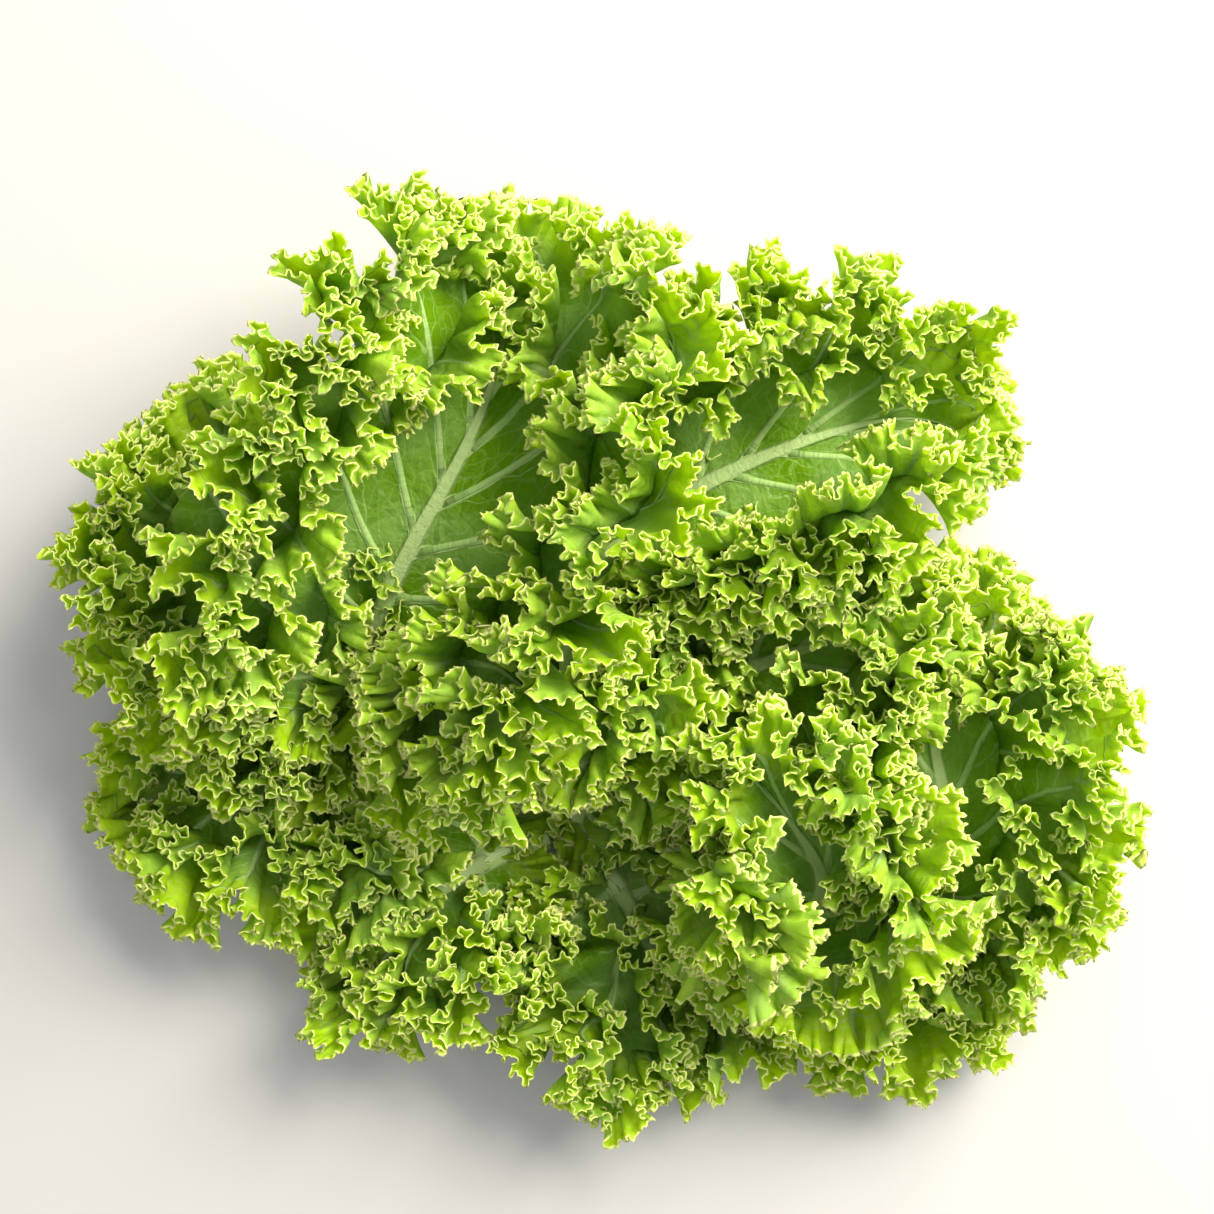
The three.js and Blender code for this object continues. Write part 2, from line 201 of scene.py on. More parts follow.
LEAF_PLANS = (
    LeafPlan(
        "leaf_01_broad", start=0.37, base=0.86, window=28, waves=17, height=12, seed=11,
        rib=((-17, -38, 13), (-50, -34, 25), (-76, -14, 42), (-72, 8, 56), (-60, 32, 65),
             (-44, 60, 70), (-35, 82, 67), (-31, 106, 56), (-37, 133, 37)),
        left=Flank(84, 20, 95), right=Flank(92, 14, 80), tip=Flank(28, 10, 60), grain=0.12,
        tiers=(Tier(0.0, 0.3, 0.46, 0.5, 27, 55), Tier(-0.03, 0.4, 0.68, 0.76, 22, 28),
               Tier(0.22, 0.46, 0.34, 0.18, 26, 72), Tier(0.66, 1.07, 0.55, 0.26, 29, 60),
               Tier(0.6, 1.04, 0.8, 0.58, 22, 45), Tier(0.54, 0.73, 0.18, 0.34, 26, 72),
               Tier(-0.09, 0.1, 0.14, 0.3, 20, 92), Tier(0.9, 1.09, 0.3, 0.14, 20, 92),
               Tier(0.34, 0.5, 0.6, 0.5, 18, 60))),
    LeafPlan(
        "leaf_02_spoon", start=0.4, base=0.8, window=18, waves=15, height=11, seed=23,
        rib=((-8, -32, 13), (-10, -4, 20), (2, 28, 31), (28, 49, 42), (66, 66, 48),
             (100, 74, 44), (124, 70, 32)),
        left=Flank(60, 4, 60), right=Flank(56, 18, 58), tip=Flank(30, 5, 45), grain=0.113,
        tiers=(Tier(-0.04, 0.44, 0.42, 0.42, 24, 60), Tier(0.6, 1.05, 0.6, 0.42, 24, 58),
               Tier(0.02, 0.46, 0.72, 0.76, 20, 36))),
    LeafPlan(
        "leaf_03_upright", start=0.42, base=0.8, window=14, waves=12, height=10, seed=37,
        rib=((14, -62, 13), (44, -84, 24), (68, -88, 42), (70, -73, 56), (58, -54, 63),
             (44, -36, 64)),
        left=Flank(50, 20, 90), right=Flank(50, 20, 58), tip=Flank(28, 10, 60), grain=0.113,
        tiers=(Tier(-0.04, 0.36, 0.6, 0.7, 20, 50), Tier(0.6, 1.05, 0.5, 0.4, 22, 53))),
    LeafPlan(
        "leaf_04_side", start=0.5, base=0.8, window=10, waves=14, height=11, seed=41,
        rib=((16, -54, 4), (52, -72, 6), (92, -88, 19), (110, -76, 38), (111, -50, 48),
             (108, -26, 50), (120, -2, 44), (132, 12, 34)),
        left=Flank(46, 20, 90), right=Flank(62, 6, 50), tip=Flank(28, 0, 40), grain=0.113,
        tiers=(Tier(-0.04, 0.42, 0.35, 0.5, 24, 53), Tier(0.56, 1.05, 0.34, 0.3, 26, 58),
               Tier(0.58, 1.02, 0.68, 0.62, 24, 43))),
    LeafPlan(
        "leaf_05_heart", start=0.3, base=0.85, window=3, waves=10, height=9, seed=113,
        rib=((-1, -46, 16), (6, -40, 34), (8, -26, 48), (4, -8, 56)),
        left=Flank(34, 20, 58), right=Flank(34, 20, 58), tip=Flank(22, 10, 60), grain=0.15,
        tiers=(Tier(-0.02, 0.47, 0.15, 0.25, 17, 55), Tier(0.53, 1.03, 0.25, 0.15, 17, 55))),
    LeafPlan(
        "leaf_06_inner", start=0.3, base=0.9, window=4, waves=12, height=10, seed=53,
        rib=((8, -36, 12), (22, -24, 22), (46, -10, 34), (78, 2, 42), (104, 14, 40)),
        left=Flank(48, 12, 43), right=Flank(52, 12, 43), tip=Flank(28, 0, 45), grain=0.122,
        tiers=(Tier(-0.04, 0.44, 0.14, 0.26, 22, 58), Tier(0.56, 1.05, 0.26, 0.14, 22, 58),
               Tier(-0.02, 0.42, 0.5, 0.6, 22, 50), Tier(0.58, 1.03, 0.6, 0.5, 22, 50))),
    LeafPlan(
        "leaf_07_left", start=0.4, base=0.75, window=12, waves=15, height=11, seed=67,
        rib=((-24, -44, 4), (-58, -29, 13), (-94, 2, 34), (-117, 36, 41), (-127, 70, 30)),
        left=Flank(66, 6, 55), right=Flank(52, 14, 60), tip=Flank(38, 0, 30), grain=0.13,
        tiers=(Tier(-0.04, 0.42, 0.4, 0.5, 26, 48), Tier(0.58, 1.05, 0.5, 0.36, 24, 50),
               Tier(0.02, 0.44, 0.74, 0.78, 20, 34))),
    LeafPlan(
        "leaf_08_low_left", start=0.36, base=0.85, window=8, waves=13, height=11, seed=71,
        rib=((-25, -57, 4), (-60, -51, 7), (-100, -44, 20), (-136, -48, 20), (-164, -58, 8)),
        left=Flank(54, 6, 50), right=Flank(46, 6, 50), tip=Flank(26, 0, 30), grain=0.14,
        tiers=(Tier(-0.02, 0.42, 0.35, 0.45, 24, 48), Tier(0.58, 1.03, 0.45, 0.35, 22, 50),
               Tier(0.26, 0.49, 0.16, 0.26, 14, 90), Tier(0.52, 0.74, 0.26, 0.16, 14, 90))),
    LeafPlan(
        "leaf_09_front_left", start=0.3, base=0.8, window=4, waves=12, height=10, seed=83,
        rib=((-20, -68, 4), (-40, -76, 11), (-60, -88, 22), (-76, -98, 18), (-88, -106, 6)),
        left=Flank(46, 10, 55), right=Flank(46, 12, 55), tip=Flank(24, 0, 30), grain=0.135,
        fan=0.04,
        tiers=(Tier(0.06, 0.45, 0.16, 0.28, 20, 58), Tier(0.56, 0.92, 0.28, 0.14, 18, 88),
               Tier(0.04, 0.45, 0.55, 0.62, 20, 44))),
    LeafPlan(
        "leaf_10_front", start=0.26, base=0.8, window=4, waves=11, height=10, seed=97,
        rib=((-5, -74, 4), (8, -90, 10), (18, -108, 18), (26, -122, 15), (32, -134, 6)),
        left=Flank(52, 8, 50), right=Flank(54, 6, 50), tip=Flank(22, 0, 30), grain=0.135,
        fan=0.04,
        tiers=(Tier(0.08, 0.45, 0.13, 0.25, 18, 92), Tier(0.55, 0.96, 0.25, 0.15, 20, 66),
               Tier(0.04, 0.46, 0.5, 0.6, 20, 46), Tier(0.54, 0.96, 0.6, 0.5, 20, 46),
               Tier(0.64, 0.93, 0.84, 0.8, 19, 20))),
    LeafPlan(
        "leaf_11_front_right", start=0.42, base=0.8, window=8, waves=12, height=10, seed=103,
        rib=((8, -72, 4), (42, -98, 6), (80, -110, 15), (116, -114, 17), (141, -108, 6)),
        left=Flank(46, 6, 50), right=Flank(40, 6, 45), tip=Flank(26, 0, 30), grain=0.135,
        tiers=(Tier(0.02, 0.44, 0.4, 0.45, 22, 48), Tier(0.58, 0.98, 0.45, 0.4, 20, 48))),
    LeafPlan(
        "leaf_12_back", start=0.06, base=0.8, window=10, waves=9, height=9, seed=127,
        rib=((-11, -63, 4), (-3, -36, 4), (3, 4, 5), (10, 52, 18), (22, 84, 19), (34, 106, 5)),
        left=Flank(48, 4, 40), right=Flank(52, 4, 40), tip=Flank(24, 0, 30), grain=0.25, fan=0.12,
        sweep=74),
)


# ---- Form -----------------------------------------------------------------

def curled_section(reach: Array, slope: Array | float, curl: Array | float) -> tuple[Array, Array]:
    """How far a curled section has gone outwards and up, of its length.

    Its slope grows from one angle to the other as the reach to a power.

    Args:
        reach: shares of the section's length, rows by columns.
        slope: degrees at its start.
        curl: degrees at its end.

    Returns:
        The distances outwards and up.
    """
    steps = (np.arange(CURL_STEPS) + 0.5)[:, None, None] / CURL_STEPS
    lift = np.radians(mix(slope, curl, (reach[None] * steps) ** CURL_POWER))
    return np.cos(lift).mean(0) * reach, np.sin(lift).mean(0) * reach


def carried_section(point: Array, left: Array, normal: Array, across: Array, up: Array) -> Array:
    """Sections carried along lines, kept above the floor.

    Args:
        point: the lines' points.
        left: the way across at each point.
        normal: the way up at each point.
        across: how far the section's points lie along the first, with one more axis.
        up: how far they lie along the second.

    Returns:
        The points of the sections.
    """
    tube = (point[..., None, :] + left[..., None, :] * across[..., None]
            + normal[..., None, :] * up[..., None])
    tube[..., 2] = np.maximum(tube[..., 2], LEAST_HEIGHT)
    return tube


def stretched(steps: tuple[float, ...], room: Array, slack: float, hold: Array | float = 1.0) -> Array:
    """Steps inwards from a margin, as they are beside it and stretched further in.

    The share of a step that stays as it is falls as the square of what is left of the way.

    Args:
        steps: mm from the margin, growing.
        room: mm inwards from the margin that there is, by column.
        slack: the room for which the steps are meant, of the last step.
        hold: by how much the steps beside the margin stay as they are.

    Returns:
        Distances from the margin in mm, the furthest row first.
    """
    inwards = np.array(steps)[::-1, None]
    full = inwards[0] * slack
    keep = (1 - inwards / full) ** 2 * hold
    return inwards * mix(room / full, 1.0, keep)


def press_down(height: Array) -> Array:
    """Squeezes every height under the top of a low zone into it, as an exponential.

    Heights above the zone stay.

    Args:
        height: mm above the floor, or below it.

    Returns:
        Heights in mm, all above the floor.
    """
    least, soft = LOW_ZONE
    room = soft - least
    squeezed = least + room * np.exp(np.minimum(height - soft, 0) / room)
    return np.where(height > soft, height, squeezed)


def seeded_draws(seed: int, count: int) -> list[float]:
    """Repeatable numbers from 0 to 1: each state is the last times a factor, modulo a range.

    Args:
        seed: the first state.
        count: how many numbers.

    Returns:
        The numbers, each the state as a share of the range.
    """
    draws = []
    state = seed
    for _ in range(count):
        state = (state * DRAW_FACTOR) % DRAW_RANGE
        draws.append(state / DRAW_RANGE)
    return draws


class Rib:
    """A leaf's rib, a smooth curve that is read by share of its length."""

    SAMPLES = 60        # to a span

    def __init__(self, plan: LeafPlan) -> None:
        """Lays a centripetal Catmull-Rom curve through the rib's points.

        Args:
            plan: the leaf.
        """
        self.start = plan.start
        points = np.array(plan.rib, float) - MIDDLE
        ends = np.vstack((2 * points[0] - points[1], points, 2 * points[-1] - points[-2]))
        p0, p1, p2, p3 = ends[:-3], ends[1:-2], ends[2:-1], ends[3:]
        gap = [np.sqrt(np.linalg.norm(b - a, axis=1, keepdims=True))
               for a, b in ((p0, p1), (p1, p2), (p2, p3))]
        t1 = gap[1] * ((p1 - p0) / gap[0] - (p2 - p0) / (gap[0] + gap[1]) + (p2 - p1) / gap[1])
        t2 = gap[1] * ((p2 - p1) / gap[1] - (p3 - p1) / (gap[1] + gap[2]) + (p3 - p2) / gap[2])
        at = np.linspace(0, 1, self.SAMPLES, endpoint=False)[None, :, None]
        c1, c2, c3 = t1, -3 * p1 + 3 * p2 - 2 * t1 - t2, 2 * p1 - 2 * p2 + t1 + t2
        spans = (p1[:, None] + c1[:, None] * at + c2[:, None] * at ** 2 + c3[:, None] * at ** 3)
        ways = c1[:, None] + 2 * c2[:, None] * at + 3 * c3[:, None] * at ** 2
        self.points = np.vstack((spans.reshape(-1, 3), points[-1]))
        last = (c1 + 2 * c2 + 3 * c3)[-1]
        self.ways = unit(np.vstack((ways.reshape(-1, 3), last)))
        run = along_run(self.points)
        self.length = float(run[-1])
        self.shares = run / self.length

    def frame(self, share: Array) -> tuple[Array, Array, Array, Array]:
        """Point and directions at shares of the rib's length.

        Args:
            share: shares from 0 to 1, of any shape.

        Returns:
            The points, the ways along the rib, to the leaf's left and out of its upper face.
        """
        point = np.stack([np.interp(share, self.shares, self.points[:, k]) for k in range(3)], -1)
        way = unit(np.stack([np.interp(share, self.shares, self.ways[:, k]) for k in range(3)], -1))
        normal = unit(np.array([0.0, 0.0, 1.0]) - way * way[..., 2:])
        return point, way, np.cross(normal, way), normal

    def radius(self, share: Array) -> Array:
        """Half the rib's width in mm, tapering from the cut end to the tip.

        It falls evenly to where the blade begins, and from there as the way to a power.

        Args:
            share: shares of the rib's length.

        Returns:
            Radii in mm.
        """
        below = np.minimum(share / self.start, 1.0)
        beyond = np.maximum((share - self.start) / (1 - self.start), 0.0)
        return mix(mix(STALK_RADIUS, RIB_RADIUS, below), TIP_RADIUS, beyond ** TAPER_POWER)


@dataclass
class MeshPart:
    """Vertices, faces and vertex attributes that go into a piece's mesh."""

    points: Array
    faces: Array
    fields: dict[str, Array]
    finish: int = 0


# ---- Frills ---------------------------------------------------------------

@dataclass
class Frill:
    """What makes a margin frilly: folds that ride on each other, and small teeth."""

    rng: np.random.Generator
    folds: tuple[Fold, ...] = (
        Fold(13.0, 4.2, 25.0, 0.22, 0.5, 2.2),
        Fold(7.0, 1.7, 12.0, 0.2, 0.5, 0.9),
        Fold(4.4, 1.0, 5.5, 0.2, 0.5, 0.5),
    )
    stray: float = 1.4              # radians that the folds stray from even spacing
    rise: float = 1.5               # power by which they grow towards the margin
    evened: float = 0.16            # of a fold, to either side, over which directions are evened out
    room: float = 0.75              # the width below which a fold gets lower, of its depth
    tooth_width: float = 3.2
    tooth_evened: int = 2           # columns to either side over which directions are evened out
    tooth: float = 1.0              # mm out from the margin
    tooth_size: tuple[float, float] = (0.85, 0.6)   # the mean, and how far it wanders
    tooth_power: float = 1.4        # how blunt the teeth are
    tooth_depth: float = 2.6        # mm in from the margin that a tooth draws along
    tooth_curl: float = 1.0         # mm out of the blade
    curl_depth: float = 3.8         # mm in from the margin that this curl draws along

    def lay(self, sheet: Array, to_margin: Array, width: Array, *first: Fold) -> Array:
        """A sheet with its margin folded, size after size, and toothed, kept above the floor.

        Args:
            sheet: points by row and column.
            to_margin: distance from each point to the margin, in mm.
            width: the sheet's width at each column, in mm.
            first: larger folds, if any, that come before the usual ones.

        Returns:
            The frilled sheet.
        """
        for fold in first + self.folds:
            sheet = self.fold_margin(sheet, to_margin, fold, width)
        sheet = self.cut_teeth(sheet, to_margin)
        sheet[..., 2] = press_down(sheet[..., 2])
        return sheet

    def fold_margin(self, sheet: Array, to_margin: Array, fold: Fold, width: Array) -> Array:
        """One more size of fold, riding on the sheet as it is.

        The waves are evenly spaced along the folded margin. A point moves out of the
        sheet by the sine of the wave, round it by the sine of twice the wave so that
        crests bulge, and outwards where a crest is. The directions are those of the
        sheet with its unevenness smoothed out.

        Args:
            sheet: points by row and column.
            to_margin: distance from each point to the margin, in mm.
            fold: the size of the folds.
            width: the sheet's width at each column, in mm. Folds are lower where it is narrow.

        Returns:
            The folded sheet.
        """
        run = along_run(sheet[-1])
        share = run / run[-1]
        reach = max(1, round(self.evened * fold.length / run[-1] * run.size))
        round_way, out_way, normal = sheet_directions(steadied(sheet, reach))
        waves = int(run[-1] / fold.length)
        phase = 2 * np.pi * waves * share + self.stray * wander(self.rng, share, waves)
        swell = 1 + fold.ragged * wander(self.rng, share, waves)
        grow = np.clip(1 - to_margin / fold.depth, 0, 1) ** self.rise
        grow = grow * np.clip(width / (self.room * fold.depth), 0, 1)
        lift = fold.height * swell * np.sin(phase)
        lean = -fold.lean * fold.length / (2 * np.pi) * np.sin(2 * phase)
        lobe = fold.lobe * (np.abs(np.sin(phase)) - 0.5)
        return (sheet + normal * (lift * grow)[..., None] + round_way * (lean * grow)[..., None]
                + out_way * (lobe * grow ** 2)[..., None])

    def cut_teeth(self, sheet: Array, to_margin: Array) -> Array:
        """Small teeth, evenly spaced along the folded margin.

        A tooth is one less a power of the size of a sine, so its point is blunt and the
        bays between are round. It reaches outwards and curls to either side of the blade.

        Args:
            sheet: points by row and column.
            to_margin: distance from each point to the margin, in mm.

        Returns:
            The toothed sheet.
        """
        _, out_way, normal = sheet_directions(steadied(sheet, self.tooth_evened))
        run = along_run(sheet[-1])
        share = run / run[-1]
        count = int(run[-1] / self.tooth_width)
        phase = np.pi * count * share + wander(self.rng, share, count)
        mean, more = self.tooth_size
        size = mean + more * wander(self.rng, share, count)
        curl = wander(self.rng, share, count)
        point = 1 - np.abs(np.sin(phase)) ** self.tooth_power
        out = self.tooth * size * point * np.clip(1 - to_margin / self.tooth_depth, 0, 1)
        bend = self.tooth_curl * curl * np.clip(1 - to_margin / self.curl_depth, 0, 1)
        return sheet + out_way * out[..., None] + normal * bend[..., None]


# ---- The parts of a leaf ---------------------------------------------------

@dataclass
class Blade:
    """A leaf's frilled blade with its rib. A place round its margin is called a turn.

    The turn is 0 at the left base, 0.5 at the tip and 1 at the right base. Below 0 and
    above 1 are the lobes beside the stalk.
    """

    plan: LeafPlan
    rib: Rib
    frill: Frill
    thickness: float = 0.56
    sharp_margin: float = 0.1       # mm from the margin where the thickness ends
    lobe_loss: float = 0.62         # how much shorter the lobes beside the stalk end
    lobe_power: float = 1.2         # how late they get shorter
    wave_lean: float = 0.33         # how far the large waves hang over, of their length
    wave_stray: float = 0.5         # radians that they stray from even spacing
    window_base: float = 0.5        # the smooth middle's width at the base, of its width above
    window_opens: tuple[float, float] = (-0.05, 0.25)   # from where to where it widens, up the rib
    rib_side: tuple[float, float] = (0.6, 1.6)  # where the rib's way up gives way, in its radii
    vein_gap: float = 18.0          # mm along the rib between side veins
    vein_bow: float = 0.34          # how far a side vein runs up the leaf, of the blade
    vein_shift: float = 0.35        # of the distance between two veins, right against left
    vein_sway: float = 0.12         # of that distance, to either side
    sway_rates: tuple[float, float] = (9.0, 5.0)    # radians of its sine out to the margin and up the rib
    far_vein: float = 60.0          # the most mm from a side vein to the next, for the finish
    margin_steps: tuple[float, ...] = (0, 0.9, 2.1, 3.6, 5.6, 8.2, 11.2, 15.0, 19.5, 25, 31, 38, 46)
    margin_strides: tuple[int, ...] = (1, 2, 2, 4, 4, 4, 8, 8, 16, 16, 32, 32, 32)
    margin_slack: float = 1.16      # the width for which these steps are meant, of the last one
    rib_steps: tuple[float, ...] = (1.3, 1.0, 0.85, 0.6, 0.3, 0.0)      # of the rib's radius
    samples: int = 3001             # of the margin, for its length
    least_steps: int = 8            # the fewest times that the widest stride fits in half of it

    def __post_init__(self) -> None:
        """Spaces the columns evenly round the margin, then waves and frills the sheet."""
        dense = np.linspace(-self.plan.fan, 1 + self.plan.fan, self.samples)
        run = along_run(self.smooth_blade(dense, np.ones((1, dense.size)))[0])
        even = (run + run[-1] - run[::-1]) / 2
        step = 2 * self.margin_strides[-1]
        self.columns = step * max(self.least_steps, round(run[-1] / self.plan.grain / step))
        turn = np.interp(np.linspace(0, run[-1], self.columns + 1), even, dense)
        self.turn = (turn + 1 - turn[::-1]) / 2
        self.length = self.blade_length(self.turn)
        self.from_rib, self.strides = self.rows()
        self.smooth = self.smooth_blade(self.turn, self.from_rib / self.length)
        self.round_way, self.out_way, self.normal = sheet_directions(self.smooth)
        self.waved = self.first_waves()
        self.sheet = self.frill.lay(self.waved, self.length - self.from_rib, self.length)
        self.facing = self.upper_side()

    def climb(self, turn: Array) -> Array:
        """How far up the rib a ray starts: 0 at the base, 1 at the tip, below 0 in the base lobes."""
        return 1 - np.abs(2 * turn - 1)

    def rib_share(self, turn: Array) -> Array:
        """Where a ray starts, as a share of the rib's length."""
        return mix(self.plan.start, FOOT_END, np.maximum(self.climb(turn), 0))

    def back(self, turn: Array) -> Array:
        """How far a ray is into a lobe beside the stalk."""
        return np.clip(-self.climb(turn) / (2 * self.plan.fan), 0, 1)

    def ray_angle(self, turn: Array) -> Array:
        """Angle from the rib to a ray, on either side of it.

        It falls as the climb to a power, from the base to none at the tip, and sweeps
        back evenly through the lobes beside the stalk.

        Args:
            turn: places round the margin.

        Returns:
            Angles in radians.
        """
        up_rib = np.maximum(self.climb(turn), 0)
        return np.radians(BASE_ANGLE * (1 - up_rib ** ANGLE_POWER) + self.plan.sweep * self.back(turn))

    def flank(self, turn: Array, name: str) -> Array:
        """A measure of the left flank or the right."""
        return np.where(turn < 0.5, getattr(self.plan.left, name), getattr(self.plan.right, name))

    def towards_tip(self, turn: Array, side: Array, name: str) -> Array:
        """A flank's measure, blended into the tip's."""
        return mix(side, getattr(self.plan.tip, name), smoothstep(self.climb(turn), TIP_START, 1))

    def blade_length(self, turn: Array) -> Array:
        """How far the blade reaches from the rib along its section.

        A side's reach times a belly that swells from the base as half a sine, blended
        into the tip's reach. In the lobes beside the stalk it shrinks again.

        Args:
            turn: places round the margin.

        Returns:
            Lengths in mm.
        """
        swelling = np.sin(np.pi * np.clip(self.climb(turn) / BELLY_END, 0, 1))
        belly = self.plan.base + (1 - self.plan.base) * swelling
        length = self.towards_tip(turn, self.flank(turn, "reach") * belly, "reach")
        return length * (1 - self.lobe_loss * self.back(turn) ** self.lobe_power)

    def smooth_blade(self, turn: Array, reach: Array) -> Array:
        """The blade before its margin is folded.

        A ray leaves the rib at its angle, and climbs along a section whose slope grows
        with the reach to a power.

        Args:
            turn: place round the margin of each column.
            reach: rows by columns, 0 at the rib and 1 at the margin.

        Returns:
            Points by row and column.
        """
        point, way, left, normal = self.rib.frame(self.rib_share(turn))
        angle = self.ray_angle(turn)
        slope, curl = (self.towards_tip(turn, self.flank(turn, name), name) for name in ("slope", "curl"))
        across, up = curled_section(reach, slope, curl)
        length = self.blade_length(turn)
        across, up = across * length, up * length
        side = np.sin(angle) * np.where(turn < 0.5, 1.0, -1.0)
        return (point + way * (np.cos(angle) * across)[..., None]
                + left * (side * across)[..., None] + normal * up[..., None])

    def rows(self) -> tuple[Array, Array]:
        """Places of the rows: absolute steps near the rib and near the margin, stretched between.

        Returns:
            Distances from the rib in mm, rows by columns, and the stride of each row.
        """
        near = np.array(self.rib_steps)[::-1, None] * self.rib.radius(self.rib_share(self.turn))
        far = self.length - stretched(self.margin_steps, self.length - near[-1], self.margin_slack)
        strides = self.margin_strides[-1:] * len(near) + self.margin_strides[::-1]
        return np.vstack((near, far)), np.array(strides)

    def first_waves(self) -> Array:
        """The smooth blade with its large waves, as high as the solid's.

        A point moves along the blade's normal by the sine of the wave and round the
        margin by the sine of twice the wave, which makes the sides steep. Both grow as
        the reach to a power, from the edge of the smooth middle.

        Returns:
            Points by row and column.
        """
        waves = self.plan.waves
        least, more = WAVE_SWELL
        swell = least + more * np.array(seeded_draws(self.plan.seed, waves + 1))
        place = np.clip(self.turn * waves - 0.5, 0, waves - 1)
        index = place.astype(int)
        swell = mix(swell[index], swell[index + 1], place - index)
        phase = 2 * np.pi * waves * self.turn
        phase = phase + self.wave_stray * wander(self.frill.rng, self.turn, waves)
        up_rib = smoothstep(self.climb(self.turn), *self.window_opens)
        window = self.plan.window * mix(self.window_base, 1.0, up_rib)
        window = np.minimum(window, WINDOW_SHARE * self.length)
        grow = np.clip((self.from_rib - window) / (self.length - window), 0, 1) ** WAVE_POWER
        lift = WAVE_LIFT * self.plan.height * swell * np.sin(phase)
        margin = along_run(self.smooth[-1])[-1]
        lean = -self.wave_lean * margin / waves / (2 * np.pi) * np.sin(2 * phase)
        return (self.smooth + self.normal * (lift * grow)[..., None]
                + self.round_way * (lean * grow)[..., None])

    def upper_side(self) -> Array:
        """The way out of the sheet's upper face, which over the rib is the rib's own.

        Returns:
            Unit directions by row and column.
        """
        share = self.rib_share(self.turn)
        near = smoothstep(self.from_rib / self.rib.radius(share), *self.rib_side)[..., None]
        return unit(mix(self.rib.frame(share)[3], sheet_directions(self.sheet)[2], near))

    def half_thickness(self, to_margin: Array) -> Array:
        """Half the blade's thickness in mm, and none on the margin itself."""
        return np.where(to_margin > self.sharp_margin, self.thickness / 2, 0.0)

    def shell(self) -> MeshPart:
        """The blade and its rib as one closed shell.

        Each face stands off the sheet by half the thickness, or by the height of a circle
        round the rib where that is more. Above, the circle is flatter.

        Returns:
            The shell, with the fields that its finish reads.
        """
        flat = self.half_thickness(self.length - self.from_rib)
        radius = self.rib.radius(self.rib_share(self.turn))
        round_rib = np.sqrt(np.clip(radius ** 2 - self.from_rib ** 2, 0, None))
        above = np.maximum(flat, RIB_TOP * round_rib)[..., None]
        below = np.maximum(flat, round_rib)[..., None]
        climb = self.climb(self.turn)
        reach = self.from_rib / self.length
        bow = climb - self.vein_bow * np.sqrt(reach)
        vein = bow / self.vein_pitch() + self.vein_shift * (self.turn > 0.5) + self.sway(bow, reach)
        apart = np.linalg.norm(np.gradient(self.smooth, axis=1), axis=-1)
        spread = self.vein_pitch() * apart / np.maximum(np.abs(np.gradient(climb)), 1e-9)
        fields = self.fields(self.turn, self.from_rib, vein, np.minimum(spread, self.far_vein))
        stride = self.margin_strides[-1]
        fan = int(stride * np.floor(np.sum(self.turn < 0) / stride))
        return close_sheet(self.sheet + self.facing * above, self.sheet - self.facing * below,
                           self.strides, fields, fan)

    def vein_pitch(self) -> float:
        """From one side vein to the next, as a share of the blade's length along the rib."""
        return self.vein_gap / (self.rib.length * (FOOT_END - self.plan.start))

    def sway(self, bow: Array, reach: Array) -> Array:
        """How far a side vein sways to either side, as a slow sine, of the distance between two."""
        outwards, upwards = self.sway_rates
        return self.vein_sway * np.sin(outwards * reach + upwards * bow)

    def fields(self, turn: Array, from_rib: Array, vein: Array, vein_mm: Array) -> dict[str, Array]:
        """What the finish reads at each point of the blade.

        The last two are the point's place in mm on the leaf as if it were pressed flat.

        Args:
            turn: places round the margin.
            from_rib: distances from the middle of the rib, in mm.
            vein: how many side veins lie between the point and the base, whole on a vein.
            vein_mm: from one side vein to the next, in mm.

        Returns:
            The fields by name.
        """
        length = self.blade_length(turn)
        share, angle = self.rib_share(turn), self.ray_angle(turn)
        side = np.where(turn < 0.5, 1.0, -1.0)
        return {
            "margin_mm": length - from_rib, "rib_mm": from_rib - self.rib.radius(share),
            "reach": from_rib / length, "side_vein": vein, "side_vein_mm": vein_mm,
            "flat_x": np.sin(angle) * side * from_rib,
            "flat_y": self.rib.length * share + np.cos(angle) * from_rib,
        }

    def column(self, turn: Array) -> Array:
        """Places among the columns at places round the margin."""
        return np.interp(turn, self.turn, np.arange(self.columns + 1))

    def pick(self, values: Array, column: Array, place: Array) -> Array:
        """Values of the sheet between its columns and rows.

        Args:
            values: by row and column of the sheet.
            column: places among the columns.
            place: shares of the blade's length.

        Returns:
            One value for each column place.
        """
        low = np.clip(column.astype(int), 0, self.columns - 1)
        part = (column - low)[None, :]
        at = mix(self.from_rib[:, low], self.from_rib[:, low + 1], part)
        between = mix(values[:, low], values[:, low + 1], part[..., None])
        goal = place * at[-1]
        row = np.clip((at <= goal).sum(0) - 1, 0, len(at) - 2)
        each = np.arange(column.size)
        part = (goal - at[row, each]) / (at[row + 1, each] - at[row, each])
        return mix(between[row, each], between[row + 1, each], part[:, None])


